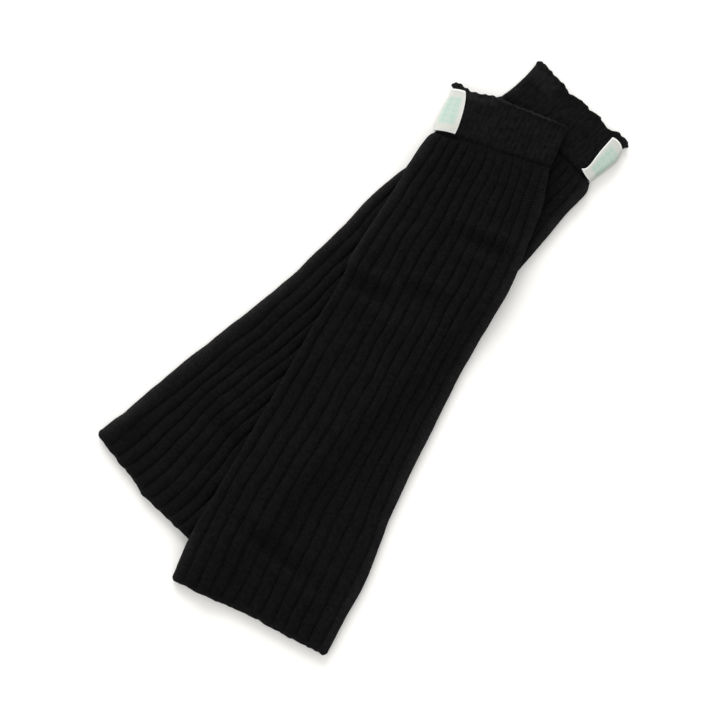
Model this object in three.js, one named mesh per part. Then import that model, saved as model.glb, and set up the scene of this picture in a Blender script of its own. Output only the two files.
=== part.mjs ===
import * as THREE from 'three';

// A pair of rib-knit leg warmers, laid flat and crossed. Millimetres, +Z up.
// Each leg is an open tube of wide rib, an open cuff of fine rib and a label folded round the cuff's side.
// +Y runs between the two legs, from the hems to the cuffs. The origin is on the surface that the pair
// rests on, under the middle of its outline.
// Each leg has its own frame: x across from its middle line, y along from its hem, z up.

// Driving dimensions

const leanDegrees = 10.33; // each leg's middle line from +Y
const crossing = { x: -1.85, y: 91.39 }; // where the two middle lines cross, in the pair
const crossingAlong = { upper: 311.3, lower: 285.5 }; // the same point, along each leg from its hem
const seamAlong = { upper: 376.85, lower: 381.85 }; // where leg and cuff meet, from the hem
const seamGap = 0.3; // between two pieces that are sewn together
const layGap = 0.5; // between the two legs

// How the upper leg comes down beside the lower one. width: outside the lower leg's outline.
// fullFrom: inside that outline, where it is at its full height. endMargin: how much further out all this is
// past the lower leg's ends, which aren't rounded. cuffStart, cuffLength: the slope down to the thinner cuff.
const ramp = { width: 26, fullFrom: 1.5, endMargin: 4, cuffStart: 4, cuffLength: 24 };

// Wall thicknesses. under: the plain underside. hollow: the air between the two layers.
// groove and crest: the upper wall at the bottom and at the top of a rib. side: the wall at a side fold.
// ribs: those between the outermost grooves of the face; one more lies on each side fold.
// fold: how high a side fold comes, as a share of a rib's height. shoulders: whether a rib has them.
const wideRib = {
  ribs: 11, under: 2.2, hollow: 1.6, groove: 1.4, crest: 2.7, side: 2.4, fold: 0.97, shoulders: true,
};
const fineRib = {
  ribs: 22, under: 1.7, hollow: 0.8, groove: 1.2, crest: 1.8, side: 1.8, fold: 0.6, shoulders: false,
};
const ribShoulder = { at: 0.22, height: 0.82 }; // a rib's shoulder, in shares of its width and height
const foldSegments = { outer: 4, inner: 2 }; // round a side fold

// Outlines. along: from the hem, on the middle line. left, right: the side folds. first, last: the outermost
// grooves on the face. gather: how far the middle grooves lie to the right of even spacing.
// tilt: how much further along the right side is. bow: how much further along the middle is.
// full: the share of the hollow and of the ribs' height.

const columns = ['along', 'left', 'right', 'first', 'last', 'gather', 'tilt', 'bow', 'full'];

const upperLegRows = table(columns, [
  [-2.6, -64.0, 61.2, -55.0, 55.0, 0.0, 0.4, 1.6, 0.9],
  [14, -65.3, 61.4, -55.6, 54.8, 0.6, 0.2, 0.8, 1],
  [36, -66.0, 61.8, -56.4, 54.4, 0.2, 0, 0, 1],
  [56, -64.6, 62.8, -56.6, 54.4, 0.0, 0, 0, 1],
  [90, -62.1, 59.3, -55.0, 52.4, 0.0, 0, 0, 1],
  [112, -60.8, 57.4, -53.4, 49.8, 1.6, 0, 0, 1],
  [144, -58.9, 56.4, -50.4, 47.5, 3.6, 0, 0, 1],
  [180, -56.8, 56.2, -48.6, 47.0, 3.9, 0, 0, 1],
  [216, -54.8, 55.9, -46.8, 46.8, 4.0, 0, 0, 1],
  [247, -52.4, 57.0, -44.8, 48.2, 3.0, 0, 0, 1],
  [262, -54.2, 58.1, -45.4, 49.5, 2.0, 0, 0, 1],
  [288, -51.6, 59.3, -43.2, 51.8, 0.0, 0, 0, 1],
  [306, -49.6, 59.1, -40.8, 51.2, 0.0, 0, 0, 1],
  [324, -47.9, 57.2, -39.0, 49.2, 0.0, 0, 0, 1],
  [340, -47.2, 55.8, -37.4, 47.4, 0.0, 0.6, 0, 1],
  [352, -46.0, 54.3, -36.0, 45.8, 0.0, 2.5, 0, 1],
  [364, -44.9, 50.2, -34.6, 43.4, 0.0, 5.0, 0, 0.95],
  [371, -43.5, 47.8, -33.8, 41.0, 0.0, 6.3, 0, 0.86],
  [seamAlong.upper - seamGap / 2, -40.5, 46.0, -33.0, 39.4, 0.0, 7.0, 0, 0.7],
]);

const lowerLegRows = table(columns, [
  [-0.6, -62.6, 61.7, -49.0, 54.0, 1.6, -0.6, -2.8, 0.9],
  [12, -62.1, 62.3, -48.4, 54.0, 2.4, 0, -1.4, 1],
  [26, -60.7, 62.3, -47.6, 53.6, 2.4, 0, -0.4, 1],
  [40, -60.3, 62.1, -46.6, 52.6, 0.4, 0, 0, 1],
  [72, -59.2, 60.5, -44.6, 49.6, -3.6, 0, 0, 1],
  [107, -56.7, 57.7, -43.4, 48.4, -2.2, 0, 0, 1],
  [149, -53.7, 55.9, -41.6, 46.8, 0.0, 0, 0, 1],
  [178, -52.2, 55.7, -42.0, 46.8, 0.0, 0, 0, 1],
  [214, -53.0, 55.7, -43.2, 46.9, 0.0, 0, 0, 1],
  [240, -54.0, 56.3, -44.6, 47.6, 0.0, 0, 0, 1],
  [263, -55.9, 57.5, -46.4, 48.6, 0.0, 0, 0, 1],
  [285, -54.9, 58.0, -46.0, 49.0, 0.0, 0, 0, 1],
  [303, -53.4, 56.6, -44.6, 48.2, 0.0, 0, 0, 1],
  [330, -51.4, 53.5, -42.8, 45.0, 0.0, 0, 0, 1],
  [354, -50.1, 50.3, -41.0, 42.0, 0.0, 0.6, 0, 1],
  [369, -49.1, 48.9, -39.6, 40.6, 0.0, 1.5, 0, 0.95],
  [376, -48.0, 48.2, -38.6, 39.6, 0.0, 2.0, 0, 0.86],
  [seamAlong.lower - seamGap / 2, -45.8, 44.9, -37.0, 37.6, 0.0, 2.4, 0, 0.7],
]);

const upperCuffRows = table(columns, [
  [seamAlong.upper + seamGap / 2, -40.3, 45.9, -38.4, 44.0, 0, 7.0, 0, 1],
  [385, -41.0, 45.6, -39.1, 43.7, 0, 6.6, 0.1, 1],
  [393, -41.3, 45.1, -39.4, 43.2, 0, 6.1, 0.3, 1],
  [401, -41.5, 44.6, -39.6, 42.7, 0, 5.6, 0.4, 1],
  [407.4, -41.8, 44.3, -39.9, 42.4, 0, 5.2, 0.6, 1],
  [409.6, -44.3, 44.5, -42.4, 42.6, 0, 5.0, 0.7, 1.05],
  [411.6, -44.9, 44.9, -43.0, 43.0, 0, 4.8, 0.7, 1.2],
]);

const lowerCuffRows = table(columns, [
  [seamAlong.lower + seamGap / 2, -45.4, 43.3, -43.5, 41.4, 0, 2.4, 0, 1],
  [391, -44.0, 43.0, -42.1, 41.1, 0, 2.3, 0, 1],
  [402, -44.0, 42.5, -42.1, 40.6, 0, 2.2, 0.2, 1],
  [411, -44.6, 42.2, -42.7, 40.3, 0, 2.1, 0.4, 1],
  [415.4, -45.7, 42.6, -43.8, 40.7, 0, 2.0, 0.5, 1],
  [418.3, -45.8, 44.0, -43.9, 42.1, 0, 1.9, 0.5, 1.2],
]);

// How far a hem lies past its first row, and a cuff's top edge past its last. x: across.
const edgeColumns = ['x', 'out'];
const hemEdges = {
  upper: table(edgeColumns, [
    [-64, 0.6], [-44, 1.4], [-28, 1.3], [-12, 0.6], [8, 0.7], [24, 1.1], [36, 1.0], [50, 0.7], [64, 0.6],
  ]),
  lower: table(edgeColumns, [
    [-64, 0.3], [-44, 0.3], [-18, 0.6], [-6, 3.0], [2, 1.9], [14, 1.2], [20, 0.4], [64, 0.4],
  ]),
};
const cuffEdges = {
  upper: table(edgeColumns, [
    [-45, 2.2], [-40, 2.1], [-35, 0.3], [-30, -1.2], [-24, -1.0], [-19, 0], [-15, 0.9], [-8, 0.4], [0, 0],
    [45, 0],
  ]),
  lower: table(edgeColumns, [
    [-45, 1.6], [-36, 1.0], [-28, 0.4], [-20, 0.5], [-14, -1.4], [-10, -0.5], [-6, 0.7], [0, 1.5], [6, 0.6],
    [13, 2.5], [21, 0.6], [26, 0.8], [31, 4.1], [41, 4.2], [45, 3.9],
  ]),
};

// Sections of each piece. step: how far apart they are. closeFrom: where they begin to follow the table's
// rows instead. plain: the points across an inside and an underside.
const sections = {
  upperLeg: { step: 16, closeFrom: 340, plain: 15 },
  lowerLeg: { step: 21, closeFrom: 354, plain: 9 },
  upperCuff: { step: 5, closeFrom: 401, plain: 16 },
  lowerCuff: { step: 5, closeFrom: 402, plain: 7 },
};

// Hem and cuff edges. A rib's end stands out a little past its grooves. A cuff's top edge is a small frill.
// Each edge bends to its table of outs over edgeReach, and its two corners are rounded: reach is across, back
// is how far the edge draws back at its very side, and along is how far up or down the cloth that shows.
const hemScallop = { out: 0.3, reach: 6 };
const frill = { reach: 2.6, waves: 15, start: 1, along: 0.35, up: 0.3 };
const edgeReach = 10;
const hemCorner = { reach: 3.4, back: 1.8, along: 6 };
const cuffCorner = { reach: 3.4, back: 2.2, along: 5 };

// Creases: soft troughs (sink above 0) and ridges (sink below 0) on the face, each from one place to another
// in its leg's own frame.
const upperCreases = [
  { name: 'left_notch', from: [-50, 247], to: [-12, 243], width: 8, sink: 1.1 },
  { name: 'over_right_side', from: [4, 301], to: [52, 304], width: 9, sink: 0.9 },
  { name: 'hem_sag', from: [-32, 46], to: [38, 22], width: 10, sink: 1.1 },
  { name: 'left_swell', from: [-44, 268], to: [-30, 292], width: 9, sink: -0.7 },
  { name: 'right_swell', from: [44, 48], to: [50, 96], width: 9, sink: -0.8 },
];
const lowerCreases = [
  { name: 'corner_bump', from: [-55, 6], to: [-52, 44], width: 7, sink: -0.9 },
  { name: 'corner_dip', from: [-42, 2], to: [-40, 26], width: 8, sink: 0.9 },
  { name: 'middle_dip', from: [-14, 52], to: [2, 96], width: 11, sink: 0.9 },
  { name: 'shoulder_ridge', from: [45, 336], to: [42, 366], width: 7, sink: -0.6 },
];

// Labels. along: on the cuff's side. outer, inner: across, at its fold and at its end on the face.
// bow: how much further along its middle is than its two sides. skew: how it leans along, for each mm across.
// margin, rampWidth: how far past its folded underside the cuff stays lifted, and comes down.
const label = { gap: 0.5, thick: 0.7, margin: 1, rampWidth: 9, foldPoints: 8, flatPoints: 4 };
const labelColumns = ['along', 'outer', 'inner', 'bow'];
const upperLabel = {
  side: -1,
  skew: 0.12,
  rows: table(labelColumns, [
    [370.4, -41.9, -26.7, 0.6],
    [375, -43.0, -26.9, 0.6],
    [381, -43.7, -27.7, 0.5],
    [388, -43.8, -28.9, 0.5],
    [395, -43.3, -30.6, 0.4],
    [400, -43.2, -32.3, 0.4],
    [403, -43.6, -33.8, 0.4],
  ]),
};
const lowerLabel = {
  side: 1,
  skew: 0.18,
  rows: table(labelColumns, [
    [384.9, 44.6, 32.9, -0.6],
    [387, 44.7, 34.6, -0.4],
    [391, 45.0, 35.0, 0],
    [397, 45.6, 33.8, 0.5],
    [403, 46.2, 32.7, 1.0],
    [408, 46.3, 32.1, 1.4],
    [413, 45.0, 31.6, 1.8],
    [415.9, 43.9, 31.2, 2.0],
  ]),
};

const knitMaterial = new THREE.MeshStandardMaterial({ color: 0x141416, roughness: 0.95, metalness: 0 });
const cuffMaterial = new THREE.MeshStandardMaterial({ color: 0x17171a, roughness: 0.92, metalness: 0 });
const labelMaterial = new THREE.MeshStandardMaterial({ color: 0xdadcd4, roughness: 0.8, metalness: 0 });

// Tables and curves

function table(names, rows) {
  return rows.map((row) => Object.fromEntries(names.map((name, i) => [name, row[i]])));
}

function clamp(value, low, high) {
  return Math.min(Math.max(value, low), high);
}

function smooth(share) {
  const t = clamp(share, 0, 1);
  return t * t * (3 - 2 * t);
}

// A row between the table's rows, on a smooth curve through them.
function rowAt(rows, along) {
  const last = rows.length - 1;
  let i = rows.findIndex((row) => row.along > along) - 1;
  if (i < 0) i = along <= rows[0].along ? 0 : last - 1;
  const [before, a, b, after] = [rows[Math.max(i - 1, 0)], rows[i], rows[i + 1], rows[Math.min(i + 2, last)]];
  const span = b.along - a.along;
  const t = clamp((along - a.along) / span, 0, 1);
  const result = {};
  for (const name of Object.keys(a)) {
    const slopeA = ((b[name] - before[name]) / (b.along - before.along)) * span;
    const slopeB = ((after[name] - a[name]) / (after.along - a.along)) * span;
    const [t2, t3] = [t * t, t * t * t];
    result[name] =
      (2 * t3 - 3 * t2 + 1) * a[name] +
      (t3 - 2 * t2 + t) * slopeA +
      (3 * t2 - 2 * t3) * b[name] +
      (t3 - t2) * slopeB;
  }
  result.along = clamp(along, rows[0].along, rows[last].along);
  return result;
}

// The places of a tube's sections: even steps, with closer ones where the rows crowd at the far end.
function sectionPlaces(rows, { step, closeFrom }) {
  const start = rows[0].along;
  const count = Math.round((closeFrom - start) / step);
  const places = [];
  for (let i = 0; i <= count; i += 1) {
    places.push(start + ((closeFrom - start) * i) / count);
  }
  rows.filter((row) => row.along > closeFrom + 1).forEach((row) => places.push(row.along));
  return places;
}

// The legs' frames in the pair

const lean = THREE.MathUtils.degToRad(leanDegrees);
const frames = {
  upper: { turn: lean, along: crossingAlong.upper },
  lower: { turn: -lean, along: crossingAlong.lower },
};

function toPair(frame, x, y) {
  const [c, s] = [Math.cos(frame.turn), Math.sin(frame.turn)];
  const y0 = y - frame.along;
  return { x: c * x - s * y0, y: s * x + c * y0 };
}

function toLeg(frame, point) {
  const [c, s] = [Math.cos(frame.turn), Math.sin(frame.turn)];
  return { x: c * point.x + s * point.y, y: -s * point.x + c * point.y + frame.along };
}

// Heights

function crestHeight(knit, full) {
  return knit.under + (knit.hollow + knit.crest) * full;
}

const lowerTop = lowerCuffRows[lowerCuffRows.length - 1].along;

// How far a place in the lower leg's frame is inside its outline; below 0 outside.
function insideLower(place) {
  const rows = place.y < seamAlong.lower ? lowerLegRows : lowerCuffRows;
  const row = rowAt(rows, place.y);
  const sides = Math.min(place.x - row.left, row.right - place.x);
  const hem = alongAt(lowerLegRows[0], place.x) - hemScallop.out;
  const ends = Math.min(place.y - hem, lowerTop - place.y) + ramp.endMargin;
  return Math.min(sides, ends);
}

// The height of the surface that the upper leg rests on: the lower leg's face, and the ramp down beside it.
function upperLift(x, y) {
  const place = toLeg(frames.lower, toPair(frames.upper, x, y));
  const legHeight = crestHeight(wideRib, 1);
  const cuffHeight = crestHeight(fineRib, 1) + label.gap + label.thick;
  const nearCuff = smooth((place.y - seamAlong.lower + ramp.cuffStart) / ramp.cuffLength);
  const height = legHeight + (cuffHeight - legHeight) * nearCuff + layGap;
  return height * smooth((insideLower(place) + ramp.width) / (ramp.width + ramp.fullFrom));
}

function noLift() {
  return 0;
}

function sinkAt(creases, x, y) {
  let sink = 0;
  for (const crease of creases) {
    const [x0, y0] = crease.from;
    const [dx, dy] = [crease.to[0] - x0, crease.to[1] - y0];
    const t = ((x - x0) * dx + (y - y0) * dy) / (dx * dx + dy * dy);
    const near = clamp(t, 0, 1);
    const distance = Math.hypot(x - x0 - near * dx, y - y0 - near * dy);
    sink += crease.sink * (0.75 + 0.25 * Math.sin(Math.PI * near)) * (1 - smooth(distance / crease.width));
  }
  return sink;
}

// How far the label's folded underside lifts the cuff off what it rests on.
function labelLift(spec, x, y) {
  const inner = Math.min(...spec.rows.map((row) => spec.side * row.inner));
  const top = spec.rows.at(-1);
  const highest = top.along + spec.skew * Math.abs(top.outer - top.inner) + top.bow;
  const beyond = Math.max(inner - spec.side * x, spec.rows[0].along - y, y - highest, 0);
  return (label.gap + label.thick) * (1 - smooth((beyond - label.margin) / label.rampWidth));
}

// Sections. Each point has x across, h above what the tube rests on, give (the share of a crease that it
// follows), ahead (how far it stands out along the leg) and t, its station round the ring, from 0 to 4.

function grooveAt(row, knit, i) {
  const share = i / knit.ribs;
  return row.first + (row.last - row.first) * share + row.gather * Math.sin(Math.PI * share);
}

function faceHeight(row, knit, share) {
  const wall = knit.groove + (knit.crest - knit.groove) * row.full * share;
  return knit.under + knit.hollow * row.full + wall;
}

function ribbedFace(row, knit) {
  const points = [];
  const add = (x, share) => {
    const t = 1 + (x - row.left) / (row.right - row.left);
    points.push({ x, h: faceHeight(row, knit, share), give: 1, ahead: share, t });
  };
  const firstWidth = grooveAt(row, knit, 1) - grooveAt(row, knit, 0);
  const lastWidth = grooveAt(row, knit, knit.ribs) - grooveAt(row, knit, knit.ribs - 1);
  if (knit.shoulders) add(row.first - ribShoulder.at * firstWidth, ribShoulder.height);
  for (let i = 0; i < knit.ribs; i += 1) {
    const x = grooveAt(row, knit, i);
    const width = grooveAt(row, knit, i + 1) - x;
    add(x, 0);
    if (knit.shoulders) add(x + ribShoulder.at * width, ribShoulder.height);
    add(x + width / 2, 1);
    if (knit.shoulders) add(x + (1 - ribShoulder.at) * width, ribShoulder.height);
  }
  add(row.last, 0);
  if (knit.shoulders) add(row.last + ribShoulder.at * lastWidth, ribShoulder.height);
  return points;
}

// A side fold: a half circle from the underside up to the face on the left, or back down on the right.
function sideFold({ row, side, inset, low, high, segments }) {
  const radius = (high - low) / 2;
  const edge = side < 0 ? row.left + inset : row.right - inset;
  const points = [];
  for (let i = 0; i <= segments; i += 1) {
    const share = i / segments;
    const angle = Math.PI * (side < 0 ? share : 1 - share);
    points.push({
      x: edge - side * radius * (1 - Math.sin(angle)),
      h: low + radius * (1 - Math.cos(angle)),
      give: side < 0 ? share : 1 - share,
      ahead: 0.5,
      t: side < 0 ? share * 0.98 : 2 + share * 0.98,
    });
  }
  return points;
}

function evenPoints(from, to, count, h, give, station) {
  const points = [];
  for (let i = 1; i <= count; i += 1) {
    const share = i / (count + 1);
    points.push({ x: from + (to - from) * share, h, give, ahead: 0, t: station + share });
  }
  return points;
}

function ringsAt(row, knit, plain) {
  const foldTop = faceHeight(row, knit, knit.fold);
  const outerFold = { row, inset: 0, low: 0, high: foldTop, segments: foldSegments.outer };
  const outerLeft = sideFold({ ...outerFold, side: -1 });
  const outerRight = sideFold({ ...outerFold, side: 1 });
  const outer = [...outerLeft, ...ribbedFace(row, knit), ...outerRight];
  outer.push(...evenPoints(outerRight.at(-1).x, outerLeft[0].x, plain, 0, 0, 3));
  const [low, high] = [knit.under, knit.under + knit.hollow * row.full];
  const innerFold = { row, inset: knit.side, low, high, segments: foldSegments.inner };
  const innerLeft = sideFold({ ...innerFold, side: -1 });
  const innerRight = sideFold({ ...innerFold, side: 1 });
  const inner = [...innerLeft, ...evenPoints(innerLeft.at(-1).x, innerRight[0].x, plain, high, 1, 1)];
  inner.push(...innerRight, ...evenPoints(innerRight.at(-1).x, innerLeft[0].x, plain, low, 0, 3));
  return { outer, inner };
}

// Walls from rings

function addRing(positions, ring) {
  const start = positions.length / 3;
  ring.forEach((point) => positions.push(point.x, point.y, point.z));
  return start;
}

function joinRings(faces, a, b, count, outward) {
  for (let j = 0; j < count; j += 1) {
    const k = (j + 1) % count;
    const quad = [a + j, a + k, b + k, b + j];
    if (!outward) quad.reverse();
    faces.push(quad[0], quad[1], quad[2], quad[0], quad[2], quad[3]);
  }
}

// The wall's end, between its outer and inner rings, which have their own numbers of points.
function capWall(faces, outerStart, outer, innerStart, inner, atHem) {
  let [i, j] = [0, 0];
  while (i < outer.length || j < inner.length) {
    const nextOuter = i < outer.length ? (outer[i + 1]?.t ?? 4) : Infinity;
    const nextInner = j < inner.length ? (inner[j + 1]?.t ?? 4) : Infinity;
    const o = outerStart + (i % outer.length);
    const n = innerStart + (j % inner.length);
    const stepOuter = nextOuter <= nextInner;
    const third = stepOuter ? outerStart + ((i + 1) % outer.length) : innerStart + ((j + 1) % inner.length);
    faces.push(...(atHem ? [o, n, third] : [n, o, third]));
    if (stepOuter) i += 1;
    else j += 1;
  }
}

function geometryOf(positions, faces) {
  const geometry = new THREE.BufferGeometry();
  geometry.setAttribute('position', new THREE.Float32BufferAttribute(positions, 3));
  geometry.setIndex(faces);
  geometry.computeVertexNormals();
  return geometry;
}

// An open tube of cloth through the sections, closed only round its wall.
function tube({ rows, places, knit, plain, placePoint }) {
  const positions = [];
  const faces = [];
  const starts = places.map((along) => {
    const row = rowAt(rows, along);
    const rings = ringsAt(row, knit, plain);
    const outer = addRing(positions, rings.outer.map((point) => placePoint(row, point)));
    const inner = addRing(positions, rings.inner.map((point) => placePoint(row, point)));
    return { outer, inner, rings };
  });
  for (let i = 1; i < starts.length; i += 1) {
    joinRings(faces, starts[i - 1].outer, starts[i].outer, starts[i].rings.outer.length, true);
    joinRings(faces, starts[i - 1].inner, starts[i].inner, starts[i].rings.inner.length, false);
  }
  const [hem, end] = [starts[0], starts[starts.length - 1]];
  capWall(faces, hem.outer, hem.rings.outer, hem.inner, hem.rings.inner, true);
  capWall(faces, end.outer, end.rings.outer, end.inner, end.rings.inner, false);
  return geometryOf(positions, faces);
}

function acrossShare(row, x) {
  return clamp((2 * x - row.left - row.right) / (row.right - row.left), -1, 1);
}

function alongAt(row, x) {
  const share = acrossShare(row, x);
  return row.along + row.tilt * share + row.bow * (1 - share * share);
}

// How far past the first or last row an edge lies at a place across it.
function edgeOut(edge, x) {
  const next = edge.findIndex((place) => place.x > x);
  if (next <= 0) return edge.at(next).out;
  const [a, b] = [edge[next - 1], edge[next]];
  return a.out + (b.out - a.out) * smooth((x - a.x) / (b.x - a.x));
}

// How far outward a row at some distance from its edge moves, for the outs and the rounded corners.
function edgeMove({ row, x, distance, edge, corner }) {
  const toSide = Math.min(x - row.left, row.right - x);
  const rounded = smooth(1 - toSide / corner.reach) ** 2 * smooth(1 - distance / corner.along);
  return edgeOut(edge, x) * smooth(1 - distance / edgeReach) - corner.back * rounded;
}

function legPlacer({ rows, edge, creases, lift }) {
  const hem = rows[0].along;
  return (row, point) => {
    const distance = row.along - hem;
    const scallop = hemScallop.out * point.ahead * (1 - smooth(distance / hemScallop.reach));
    const out = edgeMove({ row, x: point.x, distance, edge, corner: hemCorner });
    const y = alongAt(row, point.x) - out - scallop;
    const sink = point.give * sinkAt(creases, point.x, y) * row.full;
    return { x: point.x, y, z: lift(point.x, y) + point.h - sink };
  };
}

function frillWave(row, x) {
  return Math.sin(Math.PI * frill.waves * (acrossShare(row, x) + 1) + frill.start);
}

function cuffPlacer({ rows, edge, spec, lift }) {
  const top = rows[rows.length - 1].along;
  return (row, point) => {
    const distance = top - row.along;
    const wave = frillWave(row, point.x) * smooth(1 - distance / frill.reach);
    const out = edgeMove({ row, x: point.x, distance, edge, corner: cuffCorner });
    const y = alongAt(row, point.x) + out + frill.along * wave;
    const raised = labelLift(spec, point.x, y);
    return { x: point.x, y, z: lift(point.x, y) + point.h + raised + frill.up * wave * point.give };
  };
}

// A label: a strip on the cuff's side, from its face round the fold to its underside.

function labelProfile({ outer, inner }, side, outward) {
  const edge = outer + side * (outward - label.gap - label.thick);
  const [low, high] = [-outward, crestHeight(fineRib, 1) + outward];
  const radius = (high - low) / 2;
  const foldStart = edge - side * radius;
  const profile = [];
  for (let i = 0; i < label.flatPoints; i += 1) {
    profile.push({ x: inner + ((foldStart - inner) * i) / label.flatPoints, h: high });
  }
  for (let i = 0; i <= label.foldPoints; i += 1) {
    const angle = (Math.PI * i) / label.foldPoints;
    const x = edge - side * radius * (1 - Math.sin(angle));
    profile.push({ x, h: low + radius * (1 + Math.cos(angle)) });
  }
  for (let i = label.flatPoints - 1; i >= 0; i -= 1) {
    profile.push({ x: inner + ((foldStart - inner) * i) / label.flatPoints, h: low });
  }
  return profile;
}

function labelGeometry({ rows, spec, lift }) {
  const positions = [];
  const faces = [];
  const surface = (outward) =>
    spec.rows.map((tape) => {
      const row = cuffRowAtSide(rows, spec.side, tape.along);
      const points = labelProfile(tape, spec.side, outward).map(({ x, h }) => {
        const across = Math.max(spec.side * (tape.outer - x), 0);
        const share = across / Math.abs(tape.outer - tape.inner);
        const y = alongAt(row, x) + spec.skew * across + tape.bow * 4 * share * (1 - share);
        return { x, y, z: lift(x, y) + h + label.gap + label.thick };
      });
      return addRing(positions, points);
    });
  const inside = surface(label.gap);
  const outside = surface(label.gap + label.thick);
  const count = 2 * label.flatPoints + label.foldPoints + 1;
  const add = (a, b, c, d) => {
    const quad = spec.side < 0 ? [a, d, c, b] : [a, b, c, d];
    faces.push(quad[0], quad[1], quad[2], quad[0], quad[2], quad[3]);
  };
  const end = spec.rows.length - 1;
  for (let k = 1; k <= end; k += 1) {
    const [i0, i1, o0, o1] = [inside[k - 1], inside[k], outside[k - 1], outside[k]];
    for (let j = 1; j < count; j += 1) {
      add(o0 + j - 1, o0 + j, o1 + j, o1 + j - 1);
      add(i0 + j, i0 + j - 1, i1 + j - 1, i1 + j);
    }
    add(i0, o0, o1, i1);
    add(o0 + count - 1, i0 + count - 1, i1 + count - 1, o1 + count - 1);
  }
  for (let j = 1; j < count; j += 1) {
    add(inside[0] + j - 1, inside[0] + j, outside[0] + j, outside[0] + j - 1);
    add(inside[end] + j, inside[end] + j - 1, outside[end] + j - 1, outside[end] + j);
  }
  return geometryOf(positions, faces);
}

// The cuff's row whose side, which the tilt moves along, is at a given place.
function cuffRowAtSide(rows, side, y) {
  let along = y;
  for (let i = 0; i < 8; i += 1) {
    along = y - side * rowAt(rows, along).tilt;
  }
  return rowAt(rows, along);
}

// The pair

function mesh(name, geometry, material) {
  const result = new THREE.Mesh(geometry, material);
  result.name = name;
  return result;
}

function legWarmer(name, { legRows, cuffRows, creases, labelSpec, lift }) {
  const legPlan = sections[`${name}Leg`];
  const cuffPlan = sections[`${name}Cuff`];
  const legWall = tube({
    rows: legRows,
    places: sectionPlaces(legRows, legPlan),
    knit: wideRib,
    plain: legPlan.plain,
    placePoint: legPlacer({ rows: legRows, edge: hemEdges[name], creases, lift }),
  });
  const cuffWall = tube({
    rows: cuffRows,
    places: sectionPlaces(cuffRows, cuffPlan),
    knit: fineRib,
    plain: cuffPlan.plain,
    placePoint: cuffPlacer({ rows: cuffRows, edge: cuffEdges[name], spec: labelSpec, lift }),
  });
  const tab = labelGeometry({ rows: cuffRows, spec: labelSpec, lift });
  const leg = new THREE.Group();
  leg.add(mesh(`${name}_leg`, legWall, knitMaterial));
  leg.add(mesh(`${name}_cuff`, cuffWall, cuffMaterial));
  leg.add(mesh(`${name}_label`, tab, labelMaterial));
  const { turn, along } = frames[name];
  leg.rotation.z = turn;
  leg.position.set(crossing.x + Math.sin(turn) * along, crossing.y - Math.cos(turn) * along, 0);
  return leg;
}

const pair = new THREE.Group();
pair.add(
  legWarmer('lower', {
    legRows: lowerLegRows,
    cuffRows: lowerCuffRows,
    creases: lowerCreases,
    labelSpec: lowerLabel,
    lift: noLift,
  }),
);
pair.add(
  legWarmer('upper', {
    legRows: upperLegRows,
    cuffRows: upperCuffRows,
    creases: upperCreases,
    labelSpec: upperLabel,
    lift: upperLift,
  }),
);

export default pair;
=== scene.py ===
"""A pair of black rib-knit leg warmers, laid flat and crossed, on a white surface.

The cloth is made in millimetres, in each leg's own frame: x across from its middle line, y along from its
hem, z up. It then goes into the pair's frame, in metres, where the solids that it replaces are.
"""

import math

import bpy
import numpy as np
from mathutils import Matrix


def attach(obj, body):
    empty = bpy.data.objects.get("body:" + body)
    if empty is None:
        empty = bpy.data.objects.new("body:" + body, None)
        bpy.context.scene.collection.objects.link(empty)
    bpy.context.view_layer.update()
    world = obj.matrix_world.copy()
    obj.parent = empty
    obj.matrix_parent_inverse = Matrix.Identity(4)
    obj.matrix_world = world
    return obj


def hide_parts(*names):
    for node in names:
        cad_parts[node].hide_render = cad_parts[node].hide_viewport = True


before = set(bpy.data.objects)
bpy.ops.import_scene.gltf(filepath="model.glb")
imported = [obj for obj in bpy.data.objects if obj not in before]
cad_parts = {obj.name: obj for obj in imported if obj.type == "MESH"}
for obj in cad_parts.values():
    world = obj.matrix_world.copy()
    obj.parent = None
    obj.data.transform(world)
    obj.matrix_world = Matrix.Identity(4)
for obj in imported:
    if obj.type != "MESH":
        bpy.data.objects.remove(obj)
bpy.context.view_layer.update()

MM = 0.001

# The legs in the pair

LEAN = math.radians(10.33)  # each leg's middle line from +Y
CROSSING = (-1.85, 91.39)  # where the two middle lines cross, in the pair
TURN = {"upper": LEAN, "lower": -LEAN}
CROSSING_ALONG = {"upper": 311.3, "lower": 285.5}  # the same point, along each leg from its hem
SEAM_ALONG = {"upper": 376.85, "lower": 381.85}  # where leg and cuff meet, from the hem
SEAM_GAP = 0.1  # between the visible edges of a leg and its cuff
LAY_GAP = 0.5  # between the two legs

# How the upper leg comes down beside the lower one: how wide its slope is, how far inside the lower leg's
# outline it starts, how far past that leg's ends it goes on, and where it changes to the cuff's height
RAMP_WIDTH = 26
RAMP_FULL_FROM = 1.5
RAMP_END_MARGIN = 4
RAMP_CUFF_START = 4
RAMP_CUFF_LENGTH = 24

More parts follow.
